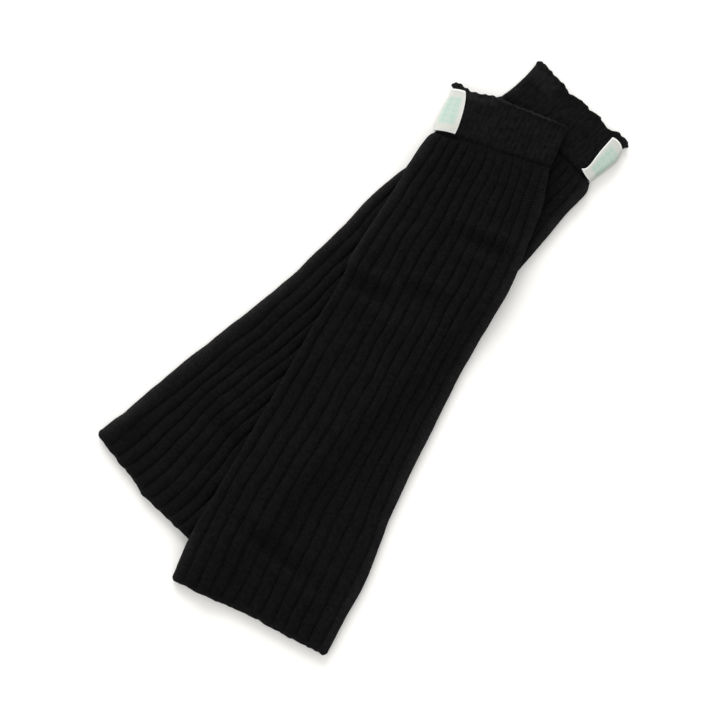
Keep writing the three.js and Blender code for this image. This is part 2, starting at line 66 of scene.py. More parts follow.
# The two knits. ribs: how many lie across the face. under: the underside's wall. hollow: the height between
# underside and face. groove, crest: the face's wall in a groove and on a crest, as in the solids. deepen: how
# much deeper a groove is than there. under_groove: a groove's depth on the pressed underside. thin: the wall
# left in a groove. side_groove: the groove on a side fold, in degrees down from the face. under_side: how far
# the underside's first groove lies from the fold. verts: the stations across a rib, as shares of its width.
# cut, narrow: how much of a groove's depth is a narrow cut, and how narrow. wales: how many a rib has.
# course: how long one is. wander: how far a groove strays, over what length, and how unlike its neighbour.
WIDE_RIB = {
    "ribs": 11, "under": 2.2, "hollow": 1.6, "groove": 1.4, "crest": 2.7, "deepen": 0.35,
    "under_groove": 0.9, "thin": 1.0, "side_groove": 106, "under_side": 5.0,
    "verts": (0, 0.03, 0.07, 0.12, 0.19, 0.30, 0.42, 0.58, 0.70, 0.81, 0.88, 0.93, 0.97),
    "cut": 0.55, "narrow": 4.2, "wales": 5, "course": 1.75, "wander": ((0.45, 38, 8), (0.15, 14, 29)),
}
FINE_RIB = {
    "ribs": 22, "under": 1.7, "hollow": 0.8, "groove": 1.2, "crest": 1.8, "deepen": 0.1,
    "under_groove": 0.5, "thin": 0.8, "side_groove": 96, "under_side": 1.6,
    "verts": (0, 0.12, 0.26, 0.42, 0.58, 0.74, 0.88),
    "cut": 0.5, "narrow": 3, "wales": 2, "course": 1.2, "wander": ((0.3, 15, 6), (0.3, 6, 29)),
}
RIB_ROUND = 2.2  # how a rib rounds down to its grooves
SIDE_DEPTH = 0.8  # a side fold's groove, as a share of the face's
RIB_SHIFT = 0.1  # how far the wales lie across from the stations, in ribs

# Outlines, as in the solids. along: from the hem, on the middle line. left, right: the side folds.
# first, last: the outermost grooves on the face. gather: how far the middle grooves lie to the right of even
# spacing. tilt: how much further along the right side is. bow: how much further along the middle is.
# full: the share of the hollow and of the ribs' height.
COLUMNS = ("along", "left", "right", "first", "last", "gather", "tilt", "bow", "full")


def table(names, rows):
    return {name: np.array([row[i] for row in rows], float) for i, name in enumerate(names)}


LEG_ROWS = {
    "upper": table(COLUMNS, [
        (-2.6, -64.0, 61.2, -55.0, 55.0, 0.0, 0.4, 1.6, 0.9),
        (14, -65.3, 61.4, -55.6, 54.8, 0.6, 0.2, 0.8, 1),
        (36, -66.0, 61.8, -56.4, 54.4, 0.2, 0, 0, 1),
        (56, -64.6, 62.8, -56.6, 54.4, 0.0, 0, 0, 1),
        (90, -62.1, 59.3, -55.0, 52.4, 0.0, 0, 0, 1),
        (112, -60.8, 57.4, -53.4, 49.8, 1.6, 0, 0, 1),
        (144, -58.9, 56.4, -50.4, 47.5, 3.6, 0, 0, 1),
        (180, -56.8, 56.2, -48.6, 47.0, 3.9, 0, 0, 1),
        (216, -54.8, 55.9, -46.8, 46.8, 4.0, 0, 0, 1),
        (247, -52.4, 57.0, -44.8, 48.2, 3.0, 0, 0, 1),
        (262, -54.2, 58.1, -45.4, 49.5, 2.0, 0, 0, 1),
        (288, -51.6, 59.3, -43.2, 51.8, 0.0, 0, 0, 1),
        (306, -49.6, 59.1, -40.8, 51.2, 0.0, 0, 0, 1),
        (324, -47.9, 57.2, -39.0, 49.2, 0.0, 0, 0, 1),
        (340, -47.2, 55.8, -37.4, 47.4, 0.0, 0.6, 0, 1),
        (352, -46.0, 54.3, -36.0, 45.8, 0.0, 2.5, 0, 1),
        (364, -44.9, 50.2, -34.6, 43.4, 0.0, 5.0, 0, 0.95),
        (371, -43.5, 47.8, -33.8, 41.0, 0.0, 6.3, 0, 0.86),
        (SEAM_ALONG["upper"] - SEAM_GAP / 2, -40.5, 46.0, -33.0, 39.4, 0.0, 7.0, 0, 0.7),
    ]),
    "lower": table(COLUMNS, [
        (-0.6, -62.6, 61.7, -49.0, 54.0, 1.6, -0.6, -2.8, 0.9),
        (12, -62.1, 62.3, -48.4, 54.0, 2.4, 0, -1.4, 1),
        (26, -60.7, 62.3, -47.6, 53.6, 2.4, 0, -0.4, 1),
        (40, -60.3, 62.1, -46.6, 52.6, 0.4, 0, 0, 1),
        (72, -59.2, 60.5, -44.6, 49.6, -3.6, 0, 0, 1),
        (107, -56.7, 57.7, -43.4, 48.4, -2.2, 0, 0, 1),
        (149, -53.7, 55.9, -41.6, 46.8, 0.0, 0, 0, 1),
        (178, -52.2, 55.7, -42.0, 46.8, 0.0, 0, 0, 1),
        (214, -53.0, 55.7, -43.2, 46.9, 0.0, 0, 0, 1),
        (240, -54.0, 56.3, -44.6, 47.6, 0.0, 0, 0, 1),
        (263, -55.9, 57.5, -46.4, 48.6, 0.0, 0, 0, 1),
        (285, -54.9, 58.0, -46.0, 49.0, 0.0, 0, 0, 1),
        (303, -53.4, 56.6, -44.6, 48.2, 0.0, 0, 0, 1),
        (330, -51.4, 53.5, -42.8, 45.0, 0.0, 0, 0, 1),
        (354, -50.1, 50.3, -41.0, 42.0, 0.0, 0.6, 0, 1),
        (369, -49.1, 48.9, -39.6, 40.6, 0.0, 1.5, 0, 0.95),
        (376, -48.0, 48.2, -38.6, 39.6, 0.0, 2.0, 0, 0.86),
        (SEAM_ALONG["lower"] - SEAM_GAP / 2, -45.8, 44.9, -37.0, 37.6, 0.0, 2.4, 0, 0.7),
    ]),
}
CUFF_ROWS = {
    "upper": table(COLUMNS, [
        (SEAM_ALONG["upper"] + SEAM_GAP / 2, -40.3, 45.9, -38.4, 44.0, 0, 7.0, 0, 1),
        (385, -41.0, 45.6, -39.1, 43.7, 0, 6.6, 0.1, 1),
        (393, -41.3, 45.1, -39.4, 43.2, 0, 6.1, 0.3, 1),
        (401, -41.5, 44.6, -39.6, 42.7, 0, 5.6, 0.4, 1),
        (407.4, -41.8, 44.3, -39.9, 42.4, 0, 5.2, 0.6, 1),
        (409.6, -44.3, 44.5, -42.4, 42.6, 0, 5.0, 0.7, 1.05),
        (411.6, -44.9, 44.9, -43.0, 43.0, 0, 4.8, 0.7, 1.2),
    ]),
    "lower": table(COLUMNS, [
        (SEAM_ALONG["lower"] + SEAM_GAP / 2, -45.4, 43.3, -43.5, 41.4, 0, 2.4, 0, 1),
        (391, -44.0, 43.0, -42.1, 41.1, 0, 2.3, 0, 1),
        (402, -44.0, 42.5, -42.1, 40.6, 0, 2.2, 0.2, 1),
        (411, -44.6, 42.2, -42.7, 40.3, 0, 2.1, 0.4, 1),
        (415.4, -45.7, 42.6, -43.8, 40.7, 0, 2.0, 0.5, 1),
        (418.3, -45.8, 44.0, -43.9, 42.1, 0, 1.9, 0.5, 1.2),
    ]),
}

# Edges
HEM_SCALLOP = {"out": 0.3, "reach": 6}  # how far a rib's end stands out past its grooves, and from where
HEM_WAVES = ((0.3, 15), (0.2, 5))  # how far its small uneven waves go in and out, and how long they are
HEM_CORNER = {"reach": 3.4, "back": 1.8, "along": 6}  # how a hem rounds back at its two corners
HEM_FLAT = {"reach": 8, "least": 0.25}  # how the grooves grow shallow towards the hem
CUFF_CORNER = {"reach": 3.4, "back": 2.2, "along": 5}  # how a cuff's top edge rounds back at its sides

# The small waves of a cuff's top edge. reach: from how far down. start: where the first one begins.
# along, up: how high they are each way. uneven, length: how unlike they are, and over what length.
# shift: how far that moves them to the side.
FRILL = {
    "reach": 2.6, "waves": 15, "start": 1, "along": 0.35, "up": 0.3, "uneven": 0.45, "length": 9, "shift": 2,
}

# How far a hem lies past its first row, and a cuff's top edge past its last: x, out
EDGE_REACH = 10
HEM_EDGES = {
    "upper": ((-64, 0.6), (-44, 1.4), (-28, 1.3), (-12, 0.6), (8, 0.7), (24, 1.1), (36, 1.0), (50, 0.7),
              (64, 0.6)),
    "lower": ((-64, 0.3), (-44, 0.3), (-18, 0.6), (-6, 3.0), (2, 1.9), (14, 1.2), (20, 0.4), (64, 0.4)),
}
CUFF_EDGES = {
    "upper": ((-45, 2.2), (-40, 2.1), (-35, 0.3), (-30, -1.2), (-24, -1.0), (-19, 0), (-15, 0.9), (-8, 0.4),
              (0, 0), (45, 0)),
    "lower": ((-45, 1.6), (-36, 1.0), (-28, 0.4), (-20, 0.5), (-14, -1.4), (-10, -0.5), (-6, 0.7), (0, 1.5),
              (6, 0.6), (13, 2.5), (21, 0.6), (26, 0.8), (31, 4.1), (41, 4.2), (45, 3.9)),
}

# How far each tube's rounded ends reach past their last straight row, and the steps round them
LEG_LIPS = {"start_lip": 1.25, "end_lip": 0.9}
CUFF_LIPS = {"start_lip": 0.54, "end_lip": 0.8}
LIP_STEPS = 5

# How far apart the rows of vertices are, outside and inside
LEG_STEPS = {"step": 2.0, "inner_step": 9.0}
CUFF_STEPS = {"step": 0.6, "inner_step": 2.6}

# How far the face's outside and inside stay above the underside's wall
OUTSIDE_CLEAR = 0.5
INSIDE_CLEAR = 0.15
CLEAR_FROM = 0.625  # the share of give from which they do
CLEAR_SPAN = 0.25

# Creases: soft troughs (sink above 0) and ridges (sink below 0) on the face, each from one place to another
# in its leg's own frame: x, y, x, y, width, sink.
CREASE_STRAY = {"size": 1.6, "length": 21, "from": 2}  # how far a crease's sides stray, from how far out
CREASE_WIDTH = {"middle": 1.15, "uneven": 0.25}  # how its width goes up and down
CREASE_ENDS = 0.45  # the share of its depth that it has at its two ends
CREASE_PAINTED_SHADE = 0.15  # painted shade in a trough: how much darker it is, for each mm that it sinks
CREASES = {
    "upper": (
        (-52, 247, -12, 245, 11, 1.6),
        (-50, 256, -14, 258, 8, -1.6),
        (-36, 258, 18, 259, 16, 0.5),
        (-14, 258, 22, 262, 11, 1.1),
        (-10, 268, 20, 272, 8, -1.1),
        (-35, 236, 6, 230, 9, -0.7),
        (2, 311, 52, 313, 9, 1.4),
        (4, 320, 52, 322, 9, -1.5),
        (8, 300, 48, 303, 8, -0.9),
        (-8, 306, 14, 296, 8, 0.8),
        (-38, 55, 47, 38, 12, 1.6),
        (-40, 64, 38, 49, 9, -1.5),
        (-30, 44, 44, 26, 9, -0.8),
        (-44, 268, -30, 292, 9, -0.7),
        (44, 48, 50, 96, 9, -0.8),
        (-30, 150, 10, 128, 14, 0.6),
        (-6, 182, 30, 196, 12, 0.5),
        (-26, 345, 24, 352, 8, 0.6),
        (-36, 330, -8, 318, 8, 0.5),
    ),
    "lower": (
        (-55, 6, -52, 44, 7, -1.4),
        (-42, 2, -40, 26, 8, 1.3),
        (-22, 73, 27, 66, 12, 1.7),
        (-28, 84, 12, 80, 8, -1.3),
        (-34, 100, -22, 126, 10, 0.7),
        (2, 38, 22, 56, 9, 0.8),
        (20, 10, 26, 40, 9, 0.7),
        (-46, 186, -38, 220, 8, 0.6),
        (45, 336, 42, 366, 7, -0.6),
        (26, 352, 44, 346, 7, 0.8),
    ),
}

# Labels, as in the solids. along: on the cuff's side. outer, inner: across, at its fold and at its end on the
# face. bow: how much further along its middle is than its two sides. skew: how it leans along, for each mm
# across. margin, ramp: how far past the label the cuff stays lifted, and comes down.
LABEL_GAP = 0.5
LABEL_THICK = 0.7
LABEL_MARGIN = 1
LABEL_RAMP = 9
LABEL_COLUMNS = ("along", "outer", "inner", "bow")
LABELS = {
    "upper": {
        "side": -1, "skew": 0.12, "rows": table(LABEL_COLUMNS, [
            (370.4, -41.9, -26.7, 0.6),
            (375, -43.0, -26.9, 0.6),
            (381, -43.7, -27.7, 0.5),
            (388, -43.8, -28.9, 0.5),
            (395, -43.3, -30.6, 0.4),
            (400, -43.2, -32.3, 0.4),
            (403, -43.6, -33.8, 0.4),
        ]),
    },
    "lower": {
        "side": 1, "skew": 0.18, "rows": table(LABEL_COLUMNS, [
            (384.9, 44.6, 32.9, -0.6),
            (387, 44.7, 34.6, -0.4),
            (391, 45.0, 35.0, 0),
            (397, 45.6, 33.8, 0.5),
            (403, 46.2, 32.7, 1.0),
            (408, 46.3, 32.1, 1.4),
            (413, 45.0, 31.6, 1.8),
            (415.9, 43.9, 31.2, 2.0),
        ]),
    },
}
LABEL_PUFF = 0.35  # how far the tape's middle stands up between its two ends
LABEL_GRID = (61, 41)  # points round the cuff and along it
LABEL_INNER = 0.08  # how far outside the gap the tape's inner skin is
LABEL_ROUND = 0.3  # how far the tape's rounded edges stand out
TILT_STEPS = 8  # how often a place along the label is worked out again for the cuff's tilt

# The seam: how the ribs round down to it, how far their grooves fill up, its small pits, how dark its painted
# shade is, and how the cuff comes up from it
SEAM_TUCK = {"reach": 7, "down": 1.3, "fill": 0.75}
SEAM_PIT = {"down": 0.25, "pitch": 2.6, "reach": 2.4}
LEG_SEAM_PAINTED_SHADE = {"share": 0.4, "reach": 8, "uneven": 0.4, "length": 11}
CUFF_SEAM_PAINTED_SHADE = {"share": 0.4, "reach": 4}
CUFF_SINK = {"down": 0.7, "reach": 3.5}

# The soft unevenness of the cloth, and how the grooves fade in and out along their way: size, length.
# apart: how far apart two neighbouring grooves are taken to be.
LEG_SWELLS = ((0.14, 27), (0.08, 12), (0.04, 6))
LEG_FADE = {"middle": 0.9, "least": 0.4, "most": 1.15, "apart": 29, "waves": ((0.2, 42), (0.15, 15))}
CUFF_SWELLS = ((0.25, 15), (0.16, 6))
CUFF_TICKS = {"shown": 0.4, "least": 0.05, "apart": 31, "waves": ((0.6, 7), (0.45, 4))}
# How much of the ribs shows, at the left of a cuff and at its right, and how far across it changes
CALM = {
    "upper": {"left": 0.25, "right": 0.75, "reach": 45},
    "lower": {"left": 0.35, "right": 0.5, "reach": 60},
}

# Painted highlights, where the cloth catches the light: the hem, the side folds, and a cuff's rolled rim,
# patches and curled ends
HEM_LIGHT = {"share": 0.5, "reach": 2.2}

# How far in from the side a fold's painted highlight goes, and its fainter wide part; dark, a painted shade,
# is for a share below 0
FOLD_REACH = {"light": 8, "wide": 20, "wide_share": 0.25, "dark": 4.5}
FOLD_WAVES = ((0.25, 19), (0.15, 5))
CUFF_FOLD_SCALE = 0.7
# along, share on the left, share on the right: of painted highlight, or of painted shade below 0
LEG_FOLD_LIGHT_AND_SHADE = {
    "upper": ((0, 0.55, 0.45), (30, 0.45, 0.5), (46, -0.3, 0.5), (236, -0.3, 0.55), (262, 0.2, 0.5),
              (320, 0.35, 0.4), (345, 0.5, 0.2), (377, 0.45, 0.1)),
    "lower": ((0, 0.6, -0.1), (60, 0.55, -0.1), (150, 0.65, -0.1), (280, 0.55, 0.1), (300, 0.1, 0.5),
              (330, 0.2, 0.7), (382, 0.5, 0.6)),
}
CUFF_FOLD_LIGHT_AND_SHADE = {
    "upper": ((376, 0.5, -0.3), (395, 0.4, -0.2), (412, 0.4, 0.1)),
    "lower": ((381, 0.3, 0.2), (418, 0.5, 0.3)),
}

# A painted highlight patch goes from left to right, and down from the top edge by its reach: left, right,
# reach, share
CUFF_HIGHLIGHT_PATCH = {"upper": (-40, -6, 8, 0.45), "lower": (-50, -18, 15, 0.35)}
HIGHLIGHT_PATCH_FADE = {"left": 5, "right": 8, "down": 5}
HIGHLIGHT_PATCH_UNEVEN = {"size": 0.5, "length": 7}
CUFF_KNOB_HIGHLIGHT = {"from_side": 7, "from_top": 6, "share": 0.8}  # the painted highlight on the curled end beside the label
RIM = {"from_edge": 1.1, "width": 1.1, "height": 0.4, "light_reach": 2.6}  # the cuff's rolled top edge, and the reach of its painted highlight
RIM_GIVE = 0.3  # the least share of give that has it
# The rim's painted highlight: how strong it is, where across it lies, how it fades and how uneven it is
RIM_LIGHT = {"upper": {"share": 0.75, "across": (-22, 40)}, "lower": {"share": 0.3, "across": (-50, 50)}}
RIM_FADE = {"left": 8, "right": 10}
RIM_UNEVEN = {"middle": 0.9, "size": 0.5, "length": 6, "least": 0.25, "most": 1.3}

# An unevenness is made of a few waves, with their lengths from short up by span, as shares of the one asked
# for; height brings their sum to about 1
WAVER = {"waves": 6, "short": 0.7, "span": 0.7, "height": 2.6}

# Each leg's seed for its unevenness, and what each kind of it adds to the seed
SEEDS = {"upper": 11, "lower": 47}
KINDS = {
    "under": 3, "frill": 5, "cuff_fold": 5, "cuff": 10, "swell": 20, "fade": 30, "hem": 40,
    "fold": 50, "patch": 52, "seam": 53, "rim": 54, "crease": 60,
}


def smooth(share):
    """From 0 to 1, softly at both ends."""
    t = np.clip(share, 0, 1)
    return t * t * (3 - 2 * t)


def near(distance, reach):
    """1 where the distance is 0, going softly down to 0 at the reach."""
    return smooth(1 - distance / reach)


def row_at(rows, along):
    """The columns at each place along, on smooth curves through the table's rows."""
    places = rows["along"]
    last = len(places) - 1
    i = np.clip(np.searchsorted(places, along, side="right") - 1, 0, last - 1)
    before = np.maximum(i - 1, 0)
    after = np.minimum(i + 2, last)
    span = places[i + 1] - places[i]
    t = np.clip((along - places[i]) / span, 0, 1)
    found = {}
    for name, value in rows.items():
        slope_a = (value[i + 1] - value[before]) / (places[i + 1] - places[before]) * span
        slope_b = (value[after] - value[i]) / (places[after] - places[i]) * span
        found[name] = (
            (2 * t**3 - 3 * t**2 + 1) * value[i]
            + (t**3 - 2 * t**2 + t) * slope_a
            + (3 * t**2 - 2 * t**3) * value[i + 1]
            + (t**3 - t**2) * slope_b
        )
    found["along"] = np.clip(along, places[0], places[last])
    return found


def upright(row):
    """The same columns, each standing up, to be met with stations across."""
    return {name: value[:, None] for name, value in row.items()}


def waver(seed, x, y, length):
    """A smooth, even, repeatable unevenness from about -1 to 1, with waves of about this length."""
    draws = np.random.default_rng(seed)
    total = 0
    for _ in range(WAVER["waves"]):
        angle, phase, stretch = draws.uniform(0, 1, 3)
        turn = 2 * math.pi * angle
        wave = 2 * math.pi / (length * (WAVER["short"] + WAVER["span"] * stretch))
        total = total + np.sin(wave * (x * math.cos(turn) + y * math.sin(turn)) + 2 * math.pi * phase)
    return total / WAVER["height"]


def wavers(seed, x, y, waves):
    """Several unevennesses in one, each with its own size and length."""
    return sum(size * waver(seed + k, x, y, length) for k, (size, length) in enumerate(waves))


# Places

def to_pair(leg, x, y):
    c, s = math.cos(TURN[leg]), math.sin(TURN[leg])
    y0 = y - CROSSING_ALONG[leg]
    return CROSSING[0] + c * x - s * y0, CROSSING[1] + s * x + c * y0


def to_leg(leg, x, y):
    c, s = math.cos(TURN[leg]), math.sin(TURN[leg])
    x0, y0 = x - CROSSING[0], y - CROSSING[1]
    return c * x0 + s * y0, -s * x0 + c * y0 + CROSSING_ALONG[leg]


def share_across(row, x):
    """-1 at the left side fold, 0 in the middle and 1 at the right."""
    return np.clip((2 * x - row["left"] - row["right"]) / (row["right"] - row["left"]), -1, 1)


def along_at(row, x):
    share = share_across(row, x)
    return row["along"] + row["tilt"] * share + row["bow"] * (1 - share * share)


def edge_out(edge, x):
    """How far an edge lies past its row there, on a smooth curve through its table."""
    places, outs = (np.array(column) for column in zip(*edge))
    i = np.clip(np.searchsorted(places, x, side="right") - 1, 0, len(places) - 2)
    return outs[i] + (outs[i + 1] - outs[i]) * smooth((x - places[i]) / (places[i + 1] - places[i]))


def edge_move(row, x, distance, edge, corner):
    """How far out the cloth at some distance from an edge moves, for the outs and the rounded corners."""
    to_side = np.minimum(x - row["left"], row["right"] - x)
    rounded = near(to_side, corner["reach"]) ** 2 * near(distance, corner["along"])
    return edge_out(edge, x) * near(distance, EDGE_REACH) - corner["back"] * rounded


def inside_lower(x, y):
    """How far a place in the lower leg's frame is inside its outline; below 0 outside."""
    leg_rows, cuff_rows = LEG_ROWS["lower"], CUFF_ROWS["lower"]
    leg_row, cuff_row = row_at(leg_rows, y), row_at(cuff_rows, y)
    on_leg = y < SEAM_ALONG["lower"]
    left = np.where(on_leg, leg_row["left"], cuff_row["left"])
    right = np.where(on_leg, leg_row["right"], cuff_row["right"])
    first_row = row_at(leg_rows, np.full_like(x, leg_rows["along"][0]))
    hem = along_at(first_row, x) - HEM_SCALLOP["out"]
    ends = np.minimum(y - hem, cuff_rows["along"][-1] - y) + RAMP_END_MARGIN
    return np.minimum(np.minimum(x - left, right - x), ends)


def lift(leg, x, y):
    """The height of what a leg rests on: the lower leg's face, and the slope down beside it."""
    if leg == "lower":
        return 0 * x
    lower_x, lower_y = to_leg("lower", *to_pair("upper", x, y))
    leg_height = face_height(WIDE_RIB, 1)
    cuff_height = face_height(FINE_RIB, 1) + LABEL_GAP + LABEL_THICK
    near_cuff = smooth((lower_y - SEAM_ALONG["lower"] + RAMP_CUFF_START) / RAMP_CUFF_LENGTH)
    height = leg_height + (cuff_height - leg_height) * near_cuff + LAY_GAP
    return height * smooth((inside_lower(lower_x, lower_y) + RAMP_WIDTH) / (RAMP_WIDTH + RAMP_FULL_FROM))


def sink_at(leg, x, y):
    """How far the creases take the face down, or up below 0."""
    sink = 0 * x
    uneven = waver(SEEDS[leg] + KINDS["crease"], x, y, CREASE_STRAY["length"])
    for x0, y0, x1, y1, width, depth in CREASES[leg]:
        dx, dy = x1 - x0, y1 - y0
        share = np.clip(((x - x0) * dx + (y - y0) * dy) / (dx * dx + dy * dy), 0, 1)
        distance = np.hypot(x - x0 - share * dx, y - y0 - share * dy)
        stray = CREASE_STRAY["size"] * uneven * smooth(distance / CREASE_STRAY["from"])
        wide = width * (CREASE_WIDTH["middle"] + CREASE_WIDTH["uneven"] * uneven)
        whole = CREASE_ENDS + (1 - CREASE_ENDS) * np.sin(math.pi * share)
        sink += depth * whole * near(np.abs(distance + stray), wide)
    return sink


def label_lift(leg, x, y):
    """How far the label's folded underside lifts the cuff off what it rests on."""
    side, skew, rows = (LABELS[leg][name] for name in ("side", "skew", "rows"))
    inner = (side * rows["inner"]).min()
    highest = rows["along"][-1] + skew * abs(rows["outer"][-1] - rows["inner"][-1]) + rows["bow"][-1]
    beyond = np.maximum(np.maximum(inner - side * x, rows["along"][0] - y), np.maximum(y - highest, 0))
    return (LABEL_GAP + LABEL_THICK) * near(beyond - LABEL_MARGIN, LABEL_RAMP)


# A section of a tube: a line along the ribs' crests, right across the face, round the right fold, back under
# and round the left fold. Each station has its place x and h, the outward direction nx and nh, groove (1 in
# a groove, 0 on a crest), depth (of the groove), wall, and give (the share of a crease that it follows).

def face_wall(knit, full):
    return knit["groove"] + (knit["crest"] - knit["groove"]) * full


def face_height(knit, full):
    return knit["under"] + knit["hollow"] * full + face_wall(knit, full)


def groove_depths(knit):
    face = knit["crest"] - knit["groove"] + knit["deepen"]
    return {"face": face, "side": SIDE_DEPTH * face, "under": knit["under_groove"]}


def groove_shape(knit, shares):
    """1 in a groove and 0 on a crest: a narrow groove between softly rounded ribs."""
    off_crest = np.abs(1 - 2 * shares)
    return knit["cut"] * off_crest ** knit["narrow"] + (1 - knit["cut"]) * off_crest ** RIB_ROUND


def wander(knit, seed, number, along):
    """How far a groove strays to the side along its way."""
    return sum(size * waver(seed + k, spacing * number, along, length)
               for k, (size, length, spacing) in enumerate(knit["wander"]))


def flat_rib(row, knit, start, stop, shares, on_face):
    """A rib across the face or the underside, between two grooves."""
    even = 0 * start + 0 * shares
    return {
        "x": start + (stop - start) * shares,
        "h": face_height(knit, row["full"]) + even if on_face else even,
        "nx": even,
        "nh": even + (1 if on_face else -1),
        "groove": groove_shape(knit, shares) + even,
        "depth": groove_depths(knit)["face" if on_face else "under"] + even,
        "wall": (face_wall(knit, row["full"]) if on_face else knit["under"]) + even,
        "give": even + (1 if on_face else 0),
    }


def side_rib(row, knit, side, outer, upper_part, shares):
    """One of the two ribs on a side fold. Share 0 is the groove nearer the face's middle."""
    radius = face_height(knit, row["full"]) / 2
    edge = row["left"] if side < 0 else row["right"]
    flat_face = np.maximum(side * (edge - outer) - radius, 0)
    turn = math.radians(knit["side_groove"])
    depths = groove_depths(knit)
    if upper_part:
        run = shares * (flat_face + radius * turn)
        angle = np.maximum(run - flat_face, 0) / radius
        back = np.maximum(flat_face - run, 0)
        start, stop = depths["face"], depths["side"]
    else:
        run = shares * (radius * (math.pi - turn) + knit["under_side"])
        angle = np.minimum(turn + run / radius, math.pi)
        back = np.maximum(run - radius * (math.pi - turn), 0)
        start, stop = depths["side"], depths["under"]
    upward = (1 + np.cos(angle)) / 2
    return {
        "x": edge - side * (radius * (1 - np.sin(angle)) + back),
        "h": 2 * radius * upward,
        "nx": side * np.sin(angle),
        "nh": np.cos(angle),
        "groove": groove_shape(knit, shares) + 0 * angle,
        "depth": np.where(shares < 0.5, start, stop) + 0 * angle,
        "wall": knit["under"] + (face_wall(knit, row["full"]) - knit["under"]) * upward,
        "give": upward,
    }


def section(row, knit, seed):
    """All the stations of the tube's sections, and the rib that each is in, as a number of ribs."""
    row = upright(row)
    verts = np.array(knit["verts"])[None, :]
    ribs = knit["ribs"]

    def groove_at(i):
        share = i / ribs
        even = row["first"] + (row["last"] - row["first"]) * share
        return even + row["gather"] * math.sin(math.pi * share) + wander(knit, seed, i, row["along"])

    radius = face_height(knit, row["full"]) / 2
    under_right = row["right"] - radius - knit["under_side"]
    under_left = row["left"] + radius + knit["under_side"]

    def under_at(i):
        stray = wander(knit, seed + KINDS["under"], i, row["along"]) if 0 < i < ribs else 0
        return under_right + (under_left - under_right) * i / ribs + stray

    parts = [flat_rib(row, knit, groove_at(i), groove_at(i + 1), verts, True) for i in range(ribs)]
    parts += [side_rib(row, knit, 1, groove_at(ribs), upper_part, verts) for upper_part in (True, False)]
    parts += [flat_rib(row, knit, under_at(i), under_at(i + 1), verts, False) for i in range(ribs)]
    parts += [side_rib(row, knit, -1, groove_at(0), upper_part, 1 - verts) for upper_part in (False, True)]
    stations = {name: np.concatenate([part[name] for part in parts], axis=1) for name in parts[0]}
    places = np.concatenate([verts[0] + i for i in range(len(parts))])
    return row, stations, places


# A tube's wall, as one grid of points that closes on itself both ways: the outside from the hem to the far
# end, that end's rounded edge, the inside back to the hem, and the hem's rounded edge.

def rounded_end(outer, inner, reach):
    """The rounded edge from the outside's last row to the inside's first, or back with reach below 0."""
    rows = []
    for k in range(1, LIP_STEPS + 1):
        angle = math.pi * k / (LIP_STEPS + 1)
        across = math.cos(angle)
        row = {name: (outer[name] + inner[name]) / 2 + (outer[name] - inner[name]) / 2 * across
               for name in outer}
        row["y"] = row["y"] + reach * math.sin(angle)
        rows.append(row)
    return rows


def tube_points(rows, knit, spec):
    """The wall's grid, with place, height, give and the rest for each point, and its stations in ribs."""
    start, stop = rows["along"][0] + spec["start_lip"], rows["along"][-1] - spec["end_lip"]
    skins = []
    for step, outside in ((spec["step"], True), (spec["inner_step"], False)):
        along = np.linspace(start, stop, round((stop - start) / step) + 1)
        row, s, places = section(row_at(rows, along), knit, spec["seed"])
        relief = spec["relief"](row, s, places[None, :])
        on_top = s["give"] > 0.5
        inward = s["groove"] * s["depth"] * relief["depth"] - relief["rise"] * (s["nh"] > -0.5)
        if not outside:
            through = s["wall"] + (knit["thin"] - s["wall"]) * s["groove"]
            inward = np.where(on_top, inward + through, s["wall"])
        x, h = s["x"] - s["nx"] * inward, s["h"] - s["nh"] * inward
        clear = knit["under"] + (OUTSIDE_CLEAR if outside else INSIDE_CLEAR)
        h = np.maximum(h, np.where(on_top, clear, 0) * smooth((s["give"] - CLEAR_FROM) / CLEAR_SPAN))
        skin = {"x": x, "y": spec["y_at"](row, s, x), "h": h, "give": s["give"]}
        skin["groove"] = s["groove"] * relief["depth"]
        for name in ("along", "left", "right", "full"):
            skin[name] = row[name] + 0 * x
        skins.append([{name: value[i] for name, value in skin.items()} for i in range(len(along))])
    outer, inner = skins[0], skins[1][::-1]
    end_edge = rounded_end(outer[-1], inner[0], spec["end_lip"])
    start_edge = rounded_end(outer[0], inner[-1], -spec["start_lip"])[::-1]
    wall = outer + end_edge + inner + start_edge
    return {name: np.array([row[name] for row in wall]) for name in outer[0]}, places


def closed_grid(count_a, count_b):
    """The four-sided faces of a grid that closes on itself both ways."""
    i = np.arange(count_a)[:, None]
    j = np.arange(count_b)[None, :]
    i_next, j_next = (i + 1) % count_a, (j + 1) % count_b
    corners = [i * count_b + j, i * count_b + j_next, i_next * count_b + j_next, i_next * count_b + j]
    return np.stack(corners, axis=-1).reshape(-1, 4)


def signed_volume(points, faces):
    a, b, c, d = (points[faces[:, k]] for k in range(4))
    halves = np.einsum("ij,ij->i", a, np.cross(b, c)) + np.einsum("ij,ij->i", a, np.cross(c, d))
    return halves.sum() / 6


def cloth_object(name, points, faces, uv, material, values):
    """A smooth-shaded mesh from a grid's points in mm. uv holds each face corner's place in the knit."""
    if signed_volume(points, faces) < 0:
        faces, uv = faces[:, ::-1], uv[:, ::-1]
    mesh = bpy.data.meshes.new(name)
    mesh.from_pydata((points * MM).tolist(), [], faces.tolist())
    layer = mesh.uv_layers.new(name="Knit")
    layer.data.foreach_set("uv", uv.reshape(-1).astype(np.float32))
    for label, data in values.items():
        mesh.attributes.new(label, "FLOAT", "POINT").data.foreach_set("value", data.astype(np.float32))
    mesh.polygons.foreach_set("use_smooth", np.ones(len(faces), bool))
    mesh.validate()
    mesh.materials.append(material)
    return add_object(name, mesh)


def add_object(name, data):
    thing = bpy.data.objects.new(name, data)
    bpy.context.collection.objects.link(thing)
    return thing


